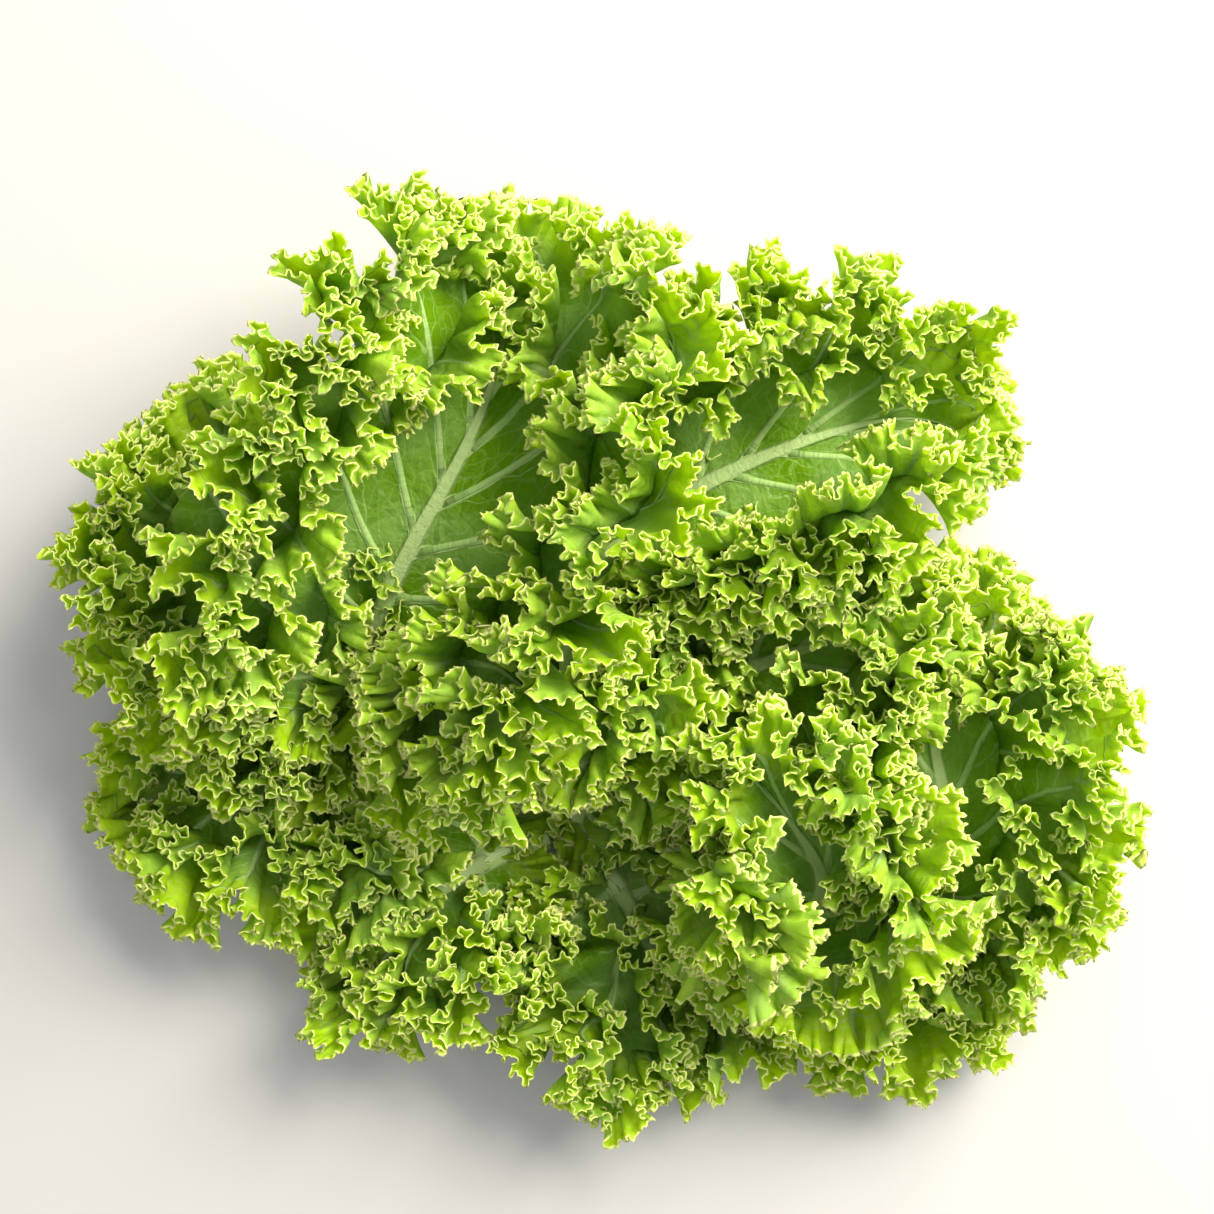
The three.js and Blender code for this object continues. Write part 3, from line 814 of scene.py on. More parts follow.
@dataclass
class LobeRow:
    """A row of lobes that stands on a blade, on a line across its rays."""

    blade: Blade
    tier: Tier
    large_fold: Fold = Fold(34.0, 10.0, 32.0, 0.2, 0.4, 3.5)
    bend: float = 38.0              # degrees that it curls from its foot to its margin
    root: float = 1.0               # mm that its foot is sunk into the blade
    rows: int = 9                   # of the blade's rows from the margin
    slack: float = 1.25             # the width for which their steps are meant, of the last one
    middle_lean: float = 10.0       # degrees more than at the foot, about half way up
    fineness: float = 0.95          # columns to a mm, of the blade's
    end_width: float = 0.2          # of its width in the middle
    taper: float = 2.2              # how soon it reaches its width
    uneven: float = 0.22            # how far its width wanders
    uneven_mm: float = 20.0
    closest: float = 0.6            # how near its lines may come to meeting
    held: tuple[float, float] = (0.3, 0.8)  # of the width meant, where no step and where all stay
    samples: int = 400              # of its line, for its length
    least_strides: int = 6
    evened: int = 49                # columns over which its width is evened out
    vein_gap: float = 14.0          # mm between its veins
    from_rib: float = 40.0          # mm, so far that the finish draws no rib on it
    reach: tuple[float, float] = (0.55, 0.4)    # at its foot, and how much more at its margin
    own_place: float = 400.0        # mm by which its flat place is set off, to a whole turn

    def foot_line(self, share: Array) -> tuple[Array, Array, Array, Array]:
        """The line on the blade where the row stands.

        Args:
            share: shares of its turn, 0 at its start and 1 at its end.

        Returns:
            Points on the waved blade and on the smooth one, and the smooth one's
            directions outwards and out of its upper face.
        """
        blade, tier = self.blade, self.tier
        column = blade.column(mix(tier.start, tier.end, share))
        place = mix(tier.foot, tier.far_foot, share)
        foot, steady, out_way, normal = (blade.pick(values, column, place) for values in (
            blade.waved, blade.smooth, blade.out_way, blade.normal))
        return foot, steady, unit(out_way), unit(normal)

    def columns(self) -> Array:
        """Shares of its turn for its columns, evenly spaced about half way up.

        Returns:
            Shares from 0 to 1, growing.
        """
        share = np.linspace(0, 1, self.samples)
        foot, _, out_way, normal = self.foot_line(share)
        lean = math.radians(self.tier.lean + self.middle_lean)
        run = along_run(foot + (out_way * math.cos(lean) + normal * math.sin(lean)) * self.tier.width)
        stride = self.blade.margin_strides[self.rows - 1]
        strides = round(run[-1] / self.blade.plan.grain / stride * self.fineness)
        count = stride * max(self.least_strides, strides)
        return np.interp(np.linspace(0, run[-1], count + 1), run, share)

    def width(self, share: Array, run: Array, closing: Array) -> Array:
        """How wide the row is along its foot.

        It tapers at both ends as half a sine that is cut off flat, and wanders between. It
        is narrower where its lines would meet, and evened out over neighbouring columns.

        Args:
            share: shares of its turn, by column.
            run: mm along its foot.
            closing: how fast its lines close in on each other, to a mm of width.

        Returns:
            Widths in mm, by column.
        """
        full = np.clip(np.sin(np.pi * share) * self.taper, 0, 1)
        width = self.tier.width * (self.end_width + (1 - self.end_width) * full)
        knots = max(2, round(run[-1] / self.uneven_mm))
        width = width * (1 + self.uneven * wander(self.blade.frill.rng, share, knots))
        width = np.minimum(width, self.closest / np.maximum(closing, 1e-3))
        kernel = np.hanning(self.evened) / np.hanning(self.evened).sum()
        return np.convolve(np.pad(width, self.evened // 2, "edge"), kernel, "valid")

    def shell(self) -> MeshPart:
        """The row as a closed shell, sunk a little way into the blade.

        It rises along a curled section of its own. Its margin has a large fold of its own
        and then the blade's folds and teeth.

        Returns:
            The shell, with the fields that its finish reads.
        """
        share = self.columns()
        foot, steady, out_way, normal = self.foot_line(share)
        run = along_run(foot)
        lean = (self.tier.lean, self.tier.lean + self.bend)
        out_share, up_share = (share.item() for share in curled_section(np.ones((1, 1)), *lean))
        lean_way = out_way * out_share + normal * up_share
        step = np.gradient(steady, axis=0)
        closing = -(np.gradient(lean_way, axis=0) * step).sum(-1) / (step ** 2).sum(-1)
        width = self.width(share, run, closing)
        steps = self.blade.margin_steps[:self.rows]
        hold = smoothstep(width / (steps[-1] * self.slack), *self.held)
        inwards = stretched(steps, width, self.slack, hold)
        rise = np.vstack((np.zeros_like(width), width - inwards))
        across, up = curled_section(rise / width, *lean)
        sheet = (foot - normal * self.root + out_way * (across * width)[..., None]
                 + normal * (up * width)[..., None])
        to_margin = width - rise
        sheet = self.blade.frill.lay(sheet, to_margin, width, self.large_fold)
        thick = sheet_directions(sheet)[2] * self.blade.half_thickness(to_margin)[..., None]
        strides = self.blade.margin_strides[:self.rows][::-1]
        return close_sheet(sheet + thick, sheet - thick, np.array(strides[:1] + strides),
                           self.fields(run, rise, width))

    def fields(self, run: Array, rise: Array, width: Array) -> dict[str, Array]:
        """What the finish reads on the row: far from any rib, with veins across it.

        Args:
            run: mm along its foot, by column.
            rise: mm from its foot, rows by columns.
            width: its width in mm, by column.

        Returns:
            The fields by name.
        """
        own_place = self.own_place * (self.tier.start + 2)
        foot, more = self.reach
        return {
            "margin_mm": width - rise, "rib_mm": np.full_like(rise, self.from_rib),
            "reach": np.clip(foot + more * rise / width, 0, 1),
            "side_vein": np.broadcast_to(run / self.vein_gap, rise.shape),
            "side_vein_mm": np.full_like(rise, self.vein_gap),
            "flat_x": np.broadcast_to(run + own_place, rise.shape), "flat_y": rise,
        }


@dataclass
class SideVeins:
    """The side veins of a blade, as ridges that stand out of both its faces."""

    blade: Blade
    count: int = 12                 # the most on one side
    from_rib: float = 2.4           # mm from the rib's middle to where a ridge starts
    short: float = 15.0             # mm that it ends short of the margin
    lowest: float = 0.02            # where the first may start, up the rib
    highest: float = 0.92           # where the last may end
    half_width: tuple[float, float] = (1.45, 0.5)   # mm, at the rib and further out
    narrow_from: float = 0.9        # how far out it has become as narrow as that
    stand: tuple[float, float] = (0.42, 0.8)        # above and below the blade, of half the width
    end_power: float = 0.3          # how blunt a ridge ends
    rounds: int = 8                 # of settling a vein's line
    rings: int = 11
    sides: int = 6

    def lines(self) -> tuple[Array, Array, Array]:
        """The lines on which the blade's count of veins is a whole number.

        They are found by putting the count's formula into itself until it settles.

        Returns:
            The veins' numbers, and the turn and the reach of each point, by vein and point.
        """
        blade, plan = self.blade, self.blade.plan
        number, right = (grid.reshape(-1, 1) for grid in np.meshgrid(
            np.arange(float(self.count)), (0.0, 1.0)))
        side = np.where(right > 0, plan.right.reach, plan.left.reach)
        reach = mix(self.from_rib / side, 1 - self.short / side, np.linspace(0, 1, self.rings))
        bow = np.zeros_like(reach)
        for _ in range(self.rounds):
            bow = blade.vein_pitch() * (number - blade.vein_shift * right - blade.sway(bow, reach))
        climb = bow + blade.vein_bow * np.sqrt(reach)
        kept = (climb[:, 0] > self.lowest) & (climb.max(axis=1) < self.highest)
        turn = np.where(right > 0, 1 - climb / 2, climb / 2)
        return number[kept], turn[kept], reach[kept]

    def shell(self) -> MeshPart:
        """The ridges, each closed and sunk into the blade.

        The section is a flat ellipse, deeper below, and dies away into the blade at its end.

        Returns:
            The ridges, with the blade's fields where they lie.
        """
        blade = self.blade
        number, turn, reach = self.lines()
        column = blade.column(turn).ravel()
        point, normal = (blade.pick(values, column, reach.ravel()).reshape(*turn.shape, 3)
                         for values in (blade.sheet, blade.facing))
        normal = unit(normal)
        left = unit(np.cross(normal, np.gradient(point, axis=1)))
        dying = np.linspace(1, 0, self.rings) ** self.end_power
        narrowing = smoothstep(reach, 0.0, self.narrow_from)
        width = (mix(*self.half_width, narrowing) * dying)[..., None]
        angle = 2 * np.pi * np.arange(self.sides) / self.sides
        stand = np.where(np.sin(angle) > 0, *self.stand)
        up = np.sin(angle) * (blade.thickness / 2 + stand * width) * (width > 0.01)
        tube = carried_section(point, left, normal, width * np.cos(angle), up)
        index = np.arange(tube[..., 0].size).reshape(tube.shape[:3])
        ends = [np.stack((index[:, ring, 0], index[:, ring, k + near], index[:, ring, k + 1 - near]), -1)
                for ring, near in ((0, 1), (-1, 0)) for k in range(1, self.sides - 1)]
        fields = blade.fields(turn, reach * blade.blade_length(turn),
                              np.broadcast_to(number, turn.shape), np.full_like(turn, blade.vein_gap))
        stored = {name: np.repeat(value.ravel(), self.sides) for name, value in fields.items()}
        return MeshPart(tube.reshape(-1, 3), np.concatenate((sleeve(index), *ends)), stored)


@dataclass
class Stalk:
    """A leaf's cut stalk, which runs a little way into the blade."""

    rib: Rib
    overlap: float = 0.035          # of the rib's length, into the blade
    ridges: int = 7
    ridge: float = 0.02             # of the radius
    dish: float = 0.5               # mm that the cut end's middle lies deeper
    end_height: float = 0.4         # the least of the ends' middles, above the floor
    rings: int = 48
    sides: int = 28
    finish: int = 1

    def shell(self) -> MeshPart:
        """The stalk: a rounded section, flatter above, carried along the rib to the blade.

        The section is a circle whose upper half is lower, with fine ridges along it. The
        cut end is dished a little and closed at its middle.

        Returns:
            The closed stalk, with the fields that its finish reads.
        """
        rings, sides = self.rings, self.sides
        share = np.linspace(0, self.rib.start + self.overlap, rings)
        point, way, left, normal = self.rib.frame(share)
        radius = self.rib.radius(share)[:, None]
        angle = 2 * np.pi * np.arange(sides) / sides
        ridged = 1 + self.ridge * np.cos(self.ridges * angle)
        across = radius * np.cos(angle) * ridged
        up = radius * np.sin(angle) * ridged * np.where(np.sin(angle) > 0, RIB_TOP, 1.0)
        tube = carried_section(point, left, normal, across, up)
        ends = np.stack((point[0] + way[0] * self.dish, point[-1]))
        ends[:, 2] = np.maximum(ends[:, 2], self.end_height)
        index = np.arange(rings * sides).reshape(rings, sides)
        first, last = index[0], index[-1]
        cap = np.stack((np.roll(first, -1), first, np.full(sides, rings * sides)), -1)
        top = np.stack((last, np.roll(last, -1), np.full(sides, rings * sides + 1)), -1)
        fields = {
            "stalk_mm": np.append(np.repeat(share * self.rib.length, sides), (0, 1e3)),
            "stalk_turn": np.append(np.tile(angle, rings), (0, 0)),
            "cut": np.append(np.zeros(rings * sides), (1, 0)),
        }
        return MeshPart(np.concatenate((tube.reshape(-1, 3), ends)),
                        np.concatenate((sleeve(index), cap, top)), fields, self.finish)


def leaf_parts(plan: LeafPlan) -> list[MeshPart]:
    """The closed shells of one leaf: its blade, stalk, rows of lobes and side veins.

    The blade draws its random numbers first, and then each row of lobes in turn.

    Args:
        plan: the leaf.

    Returns:
        The shells.
    """
    rib = Rib(plan)
    blade = Blade(plan, rib, Frill(np.random.default_rng(plan.seed)))
    lobes = [LobeRow(blade, tier).shell() for tier in plan.tiers]
    return [blade.shell(), Stalk(rib).shell(), *lobes, SideVeins(blade).shell()]


# ---- Meshes ---------------------------------------------------------------

def sleeve(index: Array) -> Array:
    """Two triangles for each four neighbouring points of tubes, with no ends.

    Args:
        index: the points' numbers by ring and by place round it.

    Returns:
        The triangles.
    """
    turned = np.roll(index, -1, axis=-1)
    a, b = index[..., :-1, :], turned[..., :-1, :]
    c, d = turned[..., 1:, :], index[..., 1:, :]
    return np.concatenate((np.stack((a, b, c), -1).reshape(-1, 3),
                           np.stack((a, c, d), -1).reshape(-1, 3)))


def real_triangles(faces: Array) -> Array:
    """Those triangles that have three different corners."""
    a, b, c = faces.T
    return faces[(a != b) & (b != c) & (a != c)]


def number_points(rows: int, columns: int, strides: Array, fan: int | None) -> tuple[Array, Array]:
    """Numbers the points of a sheet that are kept, fewer of them away from the margin.

    Args:
        rows: rows of points.
        columns: columns less one.
        strides: how many columns each row steps over.
        fan: in a whole blade, the columns at each end that start at one point.

    Returns:
        The number of each point by row and column, and where each number's point is.
    """
    number = np.full((rows, columns + 1), -1)
    count = 0
    keep = []
    for row in range(rows):
        column = np.arange(0, columns + 1, strides[row])
        own = column
        if row == 0 and fan is not None:
            own = np.clip(np.minimum(column, columns - column), fan, columns // 2)
        _, first, inverse = np.unique(own, return_index=True, return_inverse=True)
        number[row, column] = count + inverse
        keep.append(row * (columns + 1) + own[first])
        count += first.size
    return number, np.concatenate(keep)


def row_triangles(number: Array, strides: Array) -> Array:
    """Triangles between each row of points and the next, which has as many columns or twice them.

    Args:
        number: the points' numbers by row and column.
        strides: how many columns each row steps over.

    Returns:
        The triangles, without those that close up to a line.
    """
    faces = []
    for row in range(len(number) - 1):
        wide = strides[row]
        column = np.arange(0, number.shape[1] - 1, wide)
        a, b = number[row, column], number[row, column + wide]
        d, e = number[row + 1, column], number[row + 1, column + wide]
        if wide == strides[row + 1]:
            faces += [np.stack((a, b, e), -1), np.stack((a, e, d), -1)]
        else:
            m = number[row + 1, column + wide // 2]
            faces += [np.stack((a, m, d), -1), np.stack((a, b, m), -1), np.stack((b, e, m), -1)]
    return real_triangles(np.concatenate(faces))


def close_sheet(upper: Array, lower: Array, strides: Array, fields: dict[str, Array],
                fan: int | None = None) -> MeshPart:
    """Closes two faces of a sheet into one shell, which they share along the margin.

    Both faces are split into triangles alike, and a wall joins their free edges. In a
    whole blade the left and right halves share the points on the rib, and all rays of a
    base lobe start at one point.

    Args:
        upper: points of the upper face by row and column.
        lower: points of the lower face.
        strides: how many columns each row steps over, a power of two, falling outwards.
        fields: values by row and column, stored on the vertices.
        fan: in a whole blade, the columns at each end that start at one point.

    Returns:
        The shell, with a field "underside".
    """
    number, keep = number_points(upper.shape[0], upper.shape[1] - 1, strides, fan)
    count = keep.size
    sheet = row_triangles(number, strides)
    edges = np.concatenate((sheet[:, [0, 1]], sheet[:, [1, 2]], sheet[:, [2, 0]]))
    key = edges[:, 0] * count + edges[:, 1]
    free = edges[~np.isin(key, edges[:, 1] * count + edges[:, 0])]
    inner = number[-1].min()
    under = np.where(np.arange(count) < inner, count + np.arange(count), np.arange(count))
    a, b = free.T
    wall = real_triangles(np.concatenate((np.stack((b, a, under[a]), -1),
                                          np.stack((b, under[a], under[b]), -1))))
    below = keep[:inner]
    points = np.concatenate((upper.reshape(-1, 3)[keep], lower.reshape(-1, 3)[below]))
    points[:, 2] = np.maximum(points[:, 2], LEAST_HEIGHT)
    stored = {name: np.concatenate((value.reshape(-1)[keep], value.reshape(-1)[below]))
              for name, value in fields.items()}
    stored["underside"] = np.repeat((0.0, 1.0), (count, inner))
    return MeshPart(points, np.concatenate((sheet, under[sheet[:, ::-1]], wall)), stored)


def make_piece(name: str, parts: list[MeshPart],
               finishes: list[bpy.types.Material]) -> bpy.types.Object:
    """One object from several closed parts, in metres, smooth shaded.

    Args:
        name: the object's name.
        parts: its parts, in mm, each with the number of its finish.
        finishes: the materials.

    Returns:
        The object, linked to the scene, at the origin.
    """
    offset = np.cumsum([0] + [len(part.points) for part in parts[:-1]])
    points = np.concatenate([part.points for part in parts]) * MM
    faces = np.concatenate([part.faces + start for part, start in zip(parts, offset)])
    mesh = bpy.data.meshes.new(name)
    mesh.vertices.add(len(points))
    mesh.vertices.foreach_set("co", points.astype(np.float32).ravel())
    mesh.loops.add(faces.size)
    mesh.loops.foreach_set("vertex_index", faces.astype(np.int32).ravel())
    mesh.polygons.add(len(faces))
    mesh.polygons.foreach_set("loop_start", np.arange(0, faces.size, 3, dtype=np.int32))
    mesh.polygons.foreach_set("material_index", np.concatenate(
        [np.full(len(part.faces), part.finish, np.int32) for part in parts]))
    mesh.update(calc_edges=True)
    mesh.polygons.foreach_set("use_smooth", np.ones(len(faces), bool))
    for key in dict.fromkeys(key for part in parts for key in part.fields):
        values = np.concatenate([part.fields.get(key, np.zeros(len(part.points))) for part in parts])
        stored = mesh.attributes.new(key, "FLOAT", "POINT")
        stored.data.foreach_set("value", values.astype(np.float32))
    for material in finishes:
        mesh.materials.append(material)
    mesh.validate()
    piece = bpy.data.objects.new(name, mesh)
    bpy.context.scene.collection.objects.link(piece)
    return piece


# ---- Finishes -------------------------------------------------------------

def linear(colour: str) -> tuple[float, float, float, float]:
    """An sRGB hex colour such as #6f9e2c as linear red, green, blue and alpha."""
    parts = [int(colour[k:k + 2], 16) / 255 for k in (1, 3, 5)]
    return (*[c / 12.92 if c <= 0.04045 else ((c + 0.055) / 1.055) ** 2.4 for c in parts], 1.0)


class Maths(Enum):
    """What a node does with its two values, or with its first alone."""

    PLUS = "ADD"
    LESS = "SUBTRACT"
    TIMES = "MULTIPLY"
    TIMES_PLUS = "MULTIPLY_ADD"
    LARGER = "MAXIMUM"
    SIZE = "ABSOLUTE"
    PART = "FRACT"


SMOOTH = {"interpolation_type": "SMOOTHSTEP"}       # a range that is crossed in a smooth step
LINES_ON_WHOLE = 100.5      # added to a count, it puts the lines on whole numbers, and keeps it above 0
Socket = bpy.types.NodeSocket


class Nodes:
    """A material and its shader nodes."""

    def __init__(self, name: str) -> None:
        """Makes a material without nodes.

        Args:
            name: the material's name.
        """
        self.material = bpy.data.materials.new(name)
        self.material.use_nodes = True
        self.tree = self.material.node_tree
        self.tree.nodes.clear()

    def add(self, kind: str, inputs: tuple | dict = (), out: int | str = 0,
            **settings: object) -> Socket | None:
        """Adds a shader node with its settings and links.

        Args:
            kind: the node's type name without "ShaderNode".
            inputs: values, hex colours or sockets to link from, in order, or by name or number.
            out: name or number of the output to go on from.
            settings: the node's properties.

        Returns:
            That output, or none where the node has no outputs.
        """
        node = self.tree.nodes.new("ShaderNode" + kind)
        for key, value in settings.items():
            setattr(node, key, value.value if isinstance(value, Enum) else value)
        for key, value in (inputs if isinstance(inputs, dict) else dict(enumerate(inputs))).items():
            if isinstance(value, Socket):
                self.tree.links.new(value, node.inputs[key])
            else:
                node.inputs[key].default_value = linear(value) if isinstance(value, str) else value
        return node.outputs[out] if node.outputs else None

    def layered(self, base: str | Socket, *layers: tuple[Socket, str | Socket]) -> Socket:
        """A colour with others laid over it one by one.

        Args:
            base: a hex colour or a socket.
            layers: for each, how much it covers and its colour.

        Returns:
            The colour that is seen.
        """
        for share, colour in layers:
            base = self.add("Mix", {0: share, 6: base, 7: colour}, 2, data_type="RGBA")
        return base


@dataclass
class KaleTissue:
    """Fresh leaf tissue of curly kale, as it grows: waxy, matt and a little uneven.

    To the eye it glows yellow-green where light comes through. The middle is deep green
    with a bluish bloom, and the frills are younger and paler, up to a cream line on the
    margin. Pale side veins cross it, with branches and a fine net between them.
    """

    middle: str = "#6a9410"         # the smooth middle of a blade
    middle_bloom: str = "#82a84a"   # where the wax bloom lies thicker
    frill: str = "#b1d41a"          # young tissue towards the margin
    frill_pale: str = "#c7e042"
    frill_bloom: str = "#97c268"    # wax bloom on the frills, in patches
    underside: str = "#a5c46a"
    margin: str = "#f9fca6"         # the thick colourless line of the margin
    vein: str = "#a9c678"
    rib: str = "#abc17e"
    through_frill: str = "#dcf010"  # light that has come through
    through_middle: str = "#a2c400"
    frill_mm: tuple[float, float] = (4.0, 26.0)     # from the margin, where frill turns to middle
    fading_mm: tuple[float, float] = (1.5, 10.0)    # from the margin, where the veins fade
    margin_mm: float = 0.56
    margin_blur: float = 0.42       # mm
    vein_mm: float = 1.9            # half a side vein's width where it leaves the rib
    vein_end_mm: float = 0.45       # the same near the margin
    vein_foot_mm: float = 1.1       # how much wider it is right on the rib
    foot_mm: tuple[float, float] = (-1.0, 5.0)      # from the rib's side, where that is lost
    vein_edge_mm: tuple[float, float] = (-0.5, 0.35)    # past a vein's side, where it fades
    vein_left: float = 0.15         # of a side vein's strength, on the margin
    fine_left: float = 0.25         # of the finer veins', the same
    rib_edge_mm: tuple[float, float] = (-1.1, 0.2)  # from the rib's side, where its colour fades
    twigs: float = 6.5              # branches of a side vein between the rib and the margin
    twig_lean: float = 3.2          # branches' worth that they run outwards, from vein to vein
    net_mm: float = 7.5             # across a mesh of the finest veins
    net_bend: float = 4.0           # mm that the net strays
    drift_mm: float = 6.25          # across a patch that strays alike
    mottle_mm: float = 20 / 7       # across a paler spot
    crinkle_mm: float = 10 / 9      # across a fine wrinkle
    cloud_mm: float = 500 / 21      # across a patch of bloom
    twig_edge: tuple[float, float] = (0.016, 0.06)  # where a branch fades, of the way to the next
    twig_strength: float = 0.6      # of a branch, beside a side vein's 1
    twig_far: float = 0.45          # of that, half way to the next side vein
    net_edge: float = 0.07          # where a line of the net has faded, in meshes
    net_strength: float = 0.2
    roughness: tuple[float, float] = (0.36, 0.52)   # where the wax bloom is thin and thick
    shine: float = 0.2              # specular level: the bloom dulls it
    ior: float = 1.45
    middle_cloud: tuple[float, float] = (0.38, 0.66)    # the cloud where the middle's bloom thickens
    frill_cloud: tuple[float, float] = (0.5, 0.7)   # the same on the frills
    frill_share: float = 0.5        # of the frills' bloom, where it is thickest
    pale_mottle: tuple[float, float] = (0.35, 0.7)  # the mottling where the frills turn paler
    underside_share: float = 0.35
    margin_ragged: float = 0.5      # mm that the mottling takes off the margin's line
    swelling: float = 0.7           # height between the net's lines, beside a vein's 1
    mottle_height: float = 0.8
    crinkle_height: float = 0.35
    relief_strength: float = 0.6
    relief_depth: float = 0.0009    # m
    thin_mm: tuple[float, float] = (2.0, 30.0)      # from the margin, where the blade grows thicker
    through: tuple[float, float] = (0.56, 0.42)     # share of light that comes through there
    vein_shade: float = 0.2         # how much less of it comes through a vein
    margin_shade: float = 0.1       # and through the margin's line

    def __post_init__(self) -> None:
        """Starts the material, with the stored values and the noise that its patterns share."""
        self.nodes = Nodes("Kale leaf tissue")
        add = self.nodes.add
        self.at = {name: add("Attribute", (), "Fac", attribute_name=name) for name in (
            "margin_mm", "rib_mm", "reach", "side_vein", "side_vein_mm", "flat_x", "flat_y", "underside")}
        self.flat = add("CombineXYZ", (self.at["flat_x"], self.at["flat_y"]))
        self.mottle, self.crinkle, self.drift = (add("TexNoise", {
            "Vector": self.flat, "Scale": 1 / size, "Detail": detail}, out, noise_dimensions="2D")
            for size, detail, out in ((self.mottle_mm, 2.0, "Fac"), (self.crinkle_mm, 1.0, "Fac"),
                                      (self.drift_mm, 0.0, "Color")))
        place = add("TexCoord", (), "Object")
        self.cloud = add("TexNoise", {"Vector": place, "Scale": 1000 / self.cloud_mm, "Detail": 1.0}, "Fac")

    def beside_line(self, count: Socket, start: float | Socket) -> Socket:
        """How far a count is from the nearest line: 0 on it, 0.5 half way to the next.

        Args:
            count: a value that grows by 1 from line to line.
            start: what is added to it. The lines lie where the sum ends in a half.

        Returns:
            The distance, in lines.
        """
        for value, how in ((start, Maths.PLUS), (0.0, Maths.PART), (0.5, Maths.LESS), (0.0, Maths.SIZE)):
            count = self.nodes.add("Math", (count, value), operation=how)
        return count

    def side_veins(self, aside: Socket) -> Socket:
        """Side veins, drawn where the stored count of veins is a whole number.

        They are widest beside the rib and fade towards the margin.

        Args:
            aside: distance to the nearest side vein, in veins.

        Returns:
            How much a vein covers a point.
        """
        add, at = self.nodes.add, self.at
        away = add("Math", (aside, at["side_vein_mm"]), operation=Maths.TIMES)
        foot = add("MapRange", (at["rib_mm"], *self.foot_mm, self.vein_foot_mm, 0.0), **SMOOTH)
        width = add("MapRange", (at["reach"], 0.0, 0.95, self.vein_mm, self.vein_end_mm), **SMOOTH)
        width = add("Math", (width, foot), operation=Maths.PLUS)
        outside = add("Math", (away, width), operation=Maths.LESS)
        covered = add("MapRange", (outside, *self.vein_edge_mm, 1.0, 0.0), **SMOOTH)
        fading = add("MapRange", (at["margin_mm"], *self.fading_mm, self.vein_left, 1.0), **SMOOTH)
        return add("Math", (covered, fading), operation=Maths.TIMES)

    def fine_veins(self, aside: Socket, net: Socket) -> Socket:
        """The branches of the side veins, which leave them forwards, and the net between.

        Args:
            aside: distance to the nearest side vein, in veins.
            net: distance to the nearest line of the net, in meshes.

        Returns:
            How much a fine vein covers a point.
        """
        add = self.nodes.add
        rise, lean = (add("Math", pair, operation=Maths.TIMES) for pair in (
            (self.at["reach"], self.twigs), (aside, self.twig_lean)))
        count = add("Math", (rise, lean), operation=Maths.LESS)
        twig = self.beside_line(count, self.drift)
        twig = add("MapRange", (twig, *self.twig_edge, self.twig_strength, 0.0), **SMOOTH)
        paler = add("MapRange", (aside, 0.1, 0.5, 1.0, self.twig_far), **SMOOTH)
        twig = add("Math", (twig, paler), operation=Maths.TIMES)
        line = add("MapRange", (net, 0.0, self.net_edge, self.net_strength, 0.0), **SMOOTH)
        fading = add("MapRange", (self.at["margin_mm"], *self.fading_mm, self.fine_left, 1.0), **SMOOTH)
        return add("Math", (add("Math", (twig, line), operation=Maths.LARGER), fading),
                   operation=Maths.TIMES)

    def body_colour(self, veins: Socket, rib: Socket, rim: Socket) -> Socket:
        """The colour of the surface: bloom and mottling, then the underside, veins, rib and margin.

        Args:
            veins: how much a vein or the rib covers a point.
            rib: the same for the rib alone.
            rim: the same for the line of the margin.

        Returns:
            The colour.
        """
        add = self.nodes.add
        inner = self.nodes.layered(
            self.middle, (add("MapRange", (self.cloud, *self.middle_cloud), **SMOOTH), self.middle_bloom))
        return self.nodes.layered(
            self.frill,
            (add("MapRange", (self.mottle, *self.pale_mottle), **SMOOTH), self.frill_pale),
            (add("MapRange", (self.cloud, *self.frill_cloud, 0.0, self.frill_share), **SMOOTH),
             self.frill_bloom),
            (add("MapRange", (self.at["margin_mm"], *self.frill_mm), **SMOOTH), inner),
            (add("Math", (self.at["underside"], self.underside_share), operation=Maths.TIMES),
             self.underside),
            (veins, self.vein), (rib, self.rib), (rim, self.margin))

    def relief(self, coarse: Socket, net: Socket) -> Socket:
        """Fine relief: tissue that swells between the net's lines, with mottling and wrinkles.

        Args:
            coarse: how much a side vein or the rib covers a point.
            net: distance to the nearest line of the net, in meshes.

        Returns:
            The bent normal.
        """
        add = self.nodes.add
        blister = add("MapRange", (net, 0.0, 0.5, 0.0, self.swelling), **SMOOTH)
        height = add("Math", (coarse, blister), operation=Maths.LARGER)
        for noise, share in ((self.mottle, self.mottle_height), (self.crinkle, self.crinkle_height)):
            more = add("Math", (noise, share), operation=Maths.TIMES)
            height = add("Math", (height, more), operation=Maths.PLUS)
        return add("Bump", {
            "Height": height, "Strength": self.relief_strength, "Distance": self.relief_depth})

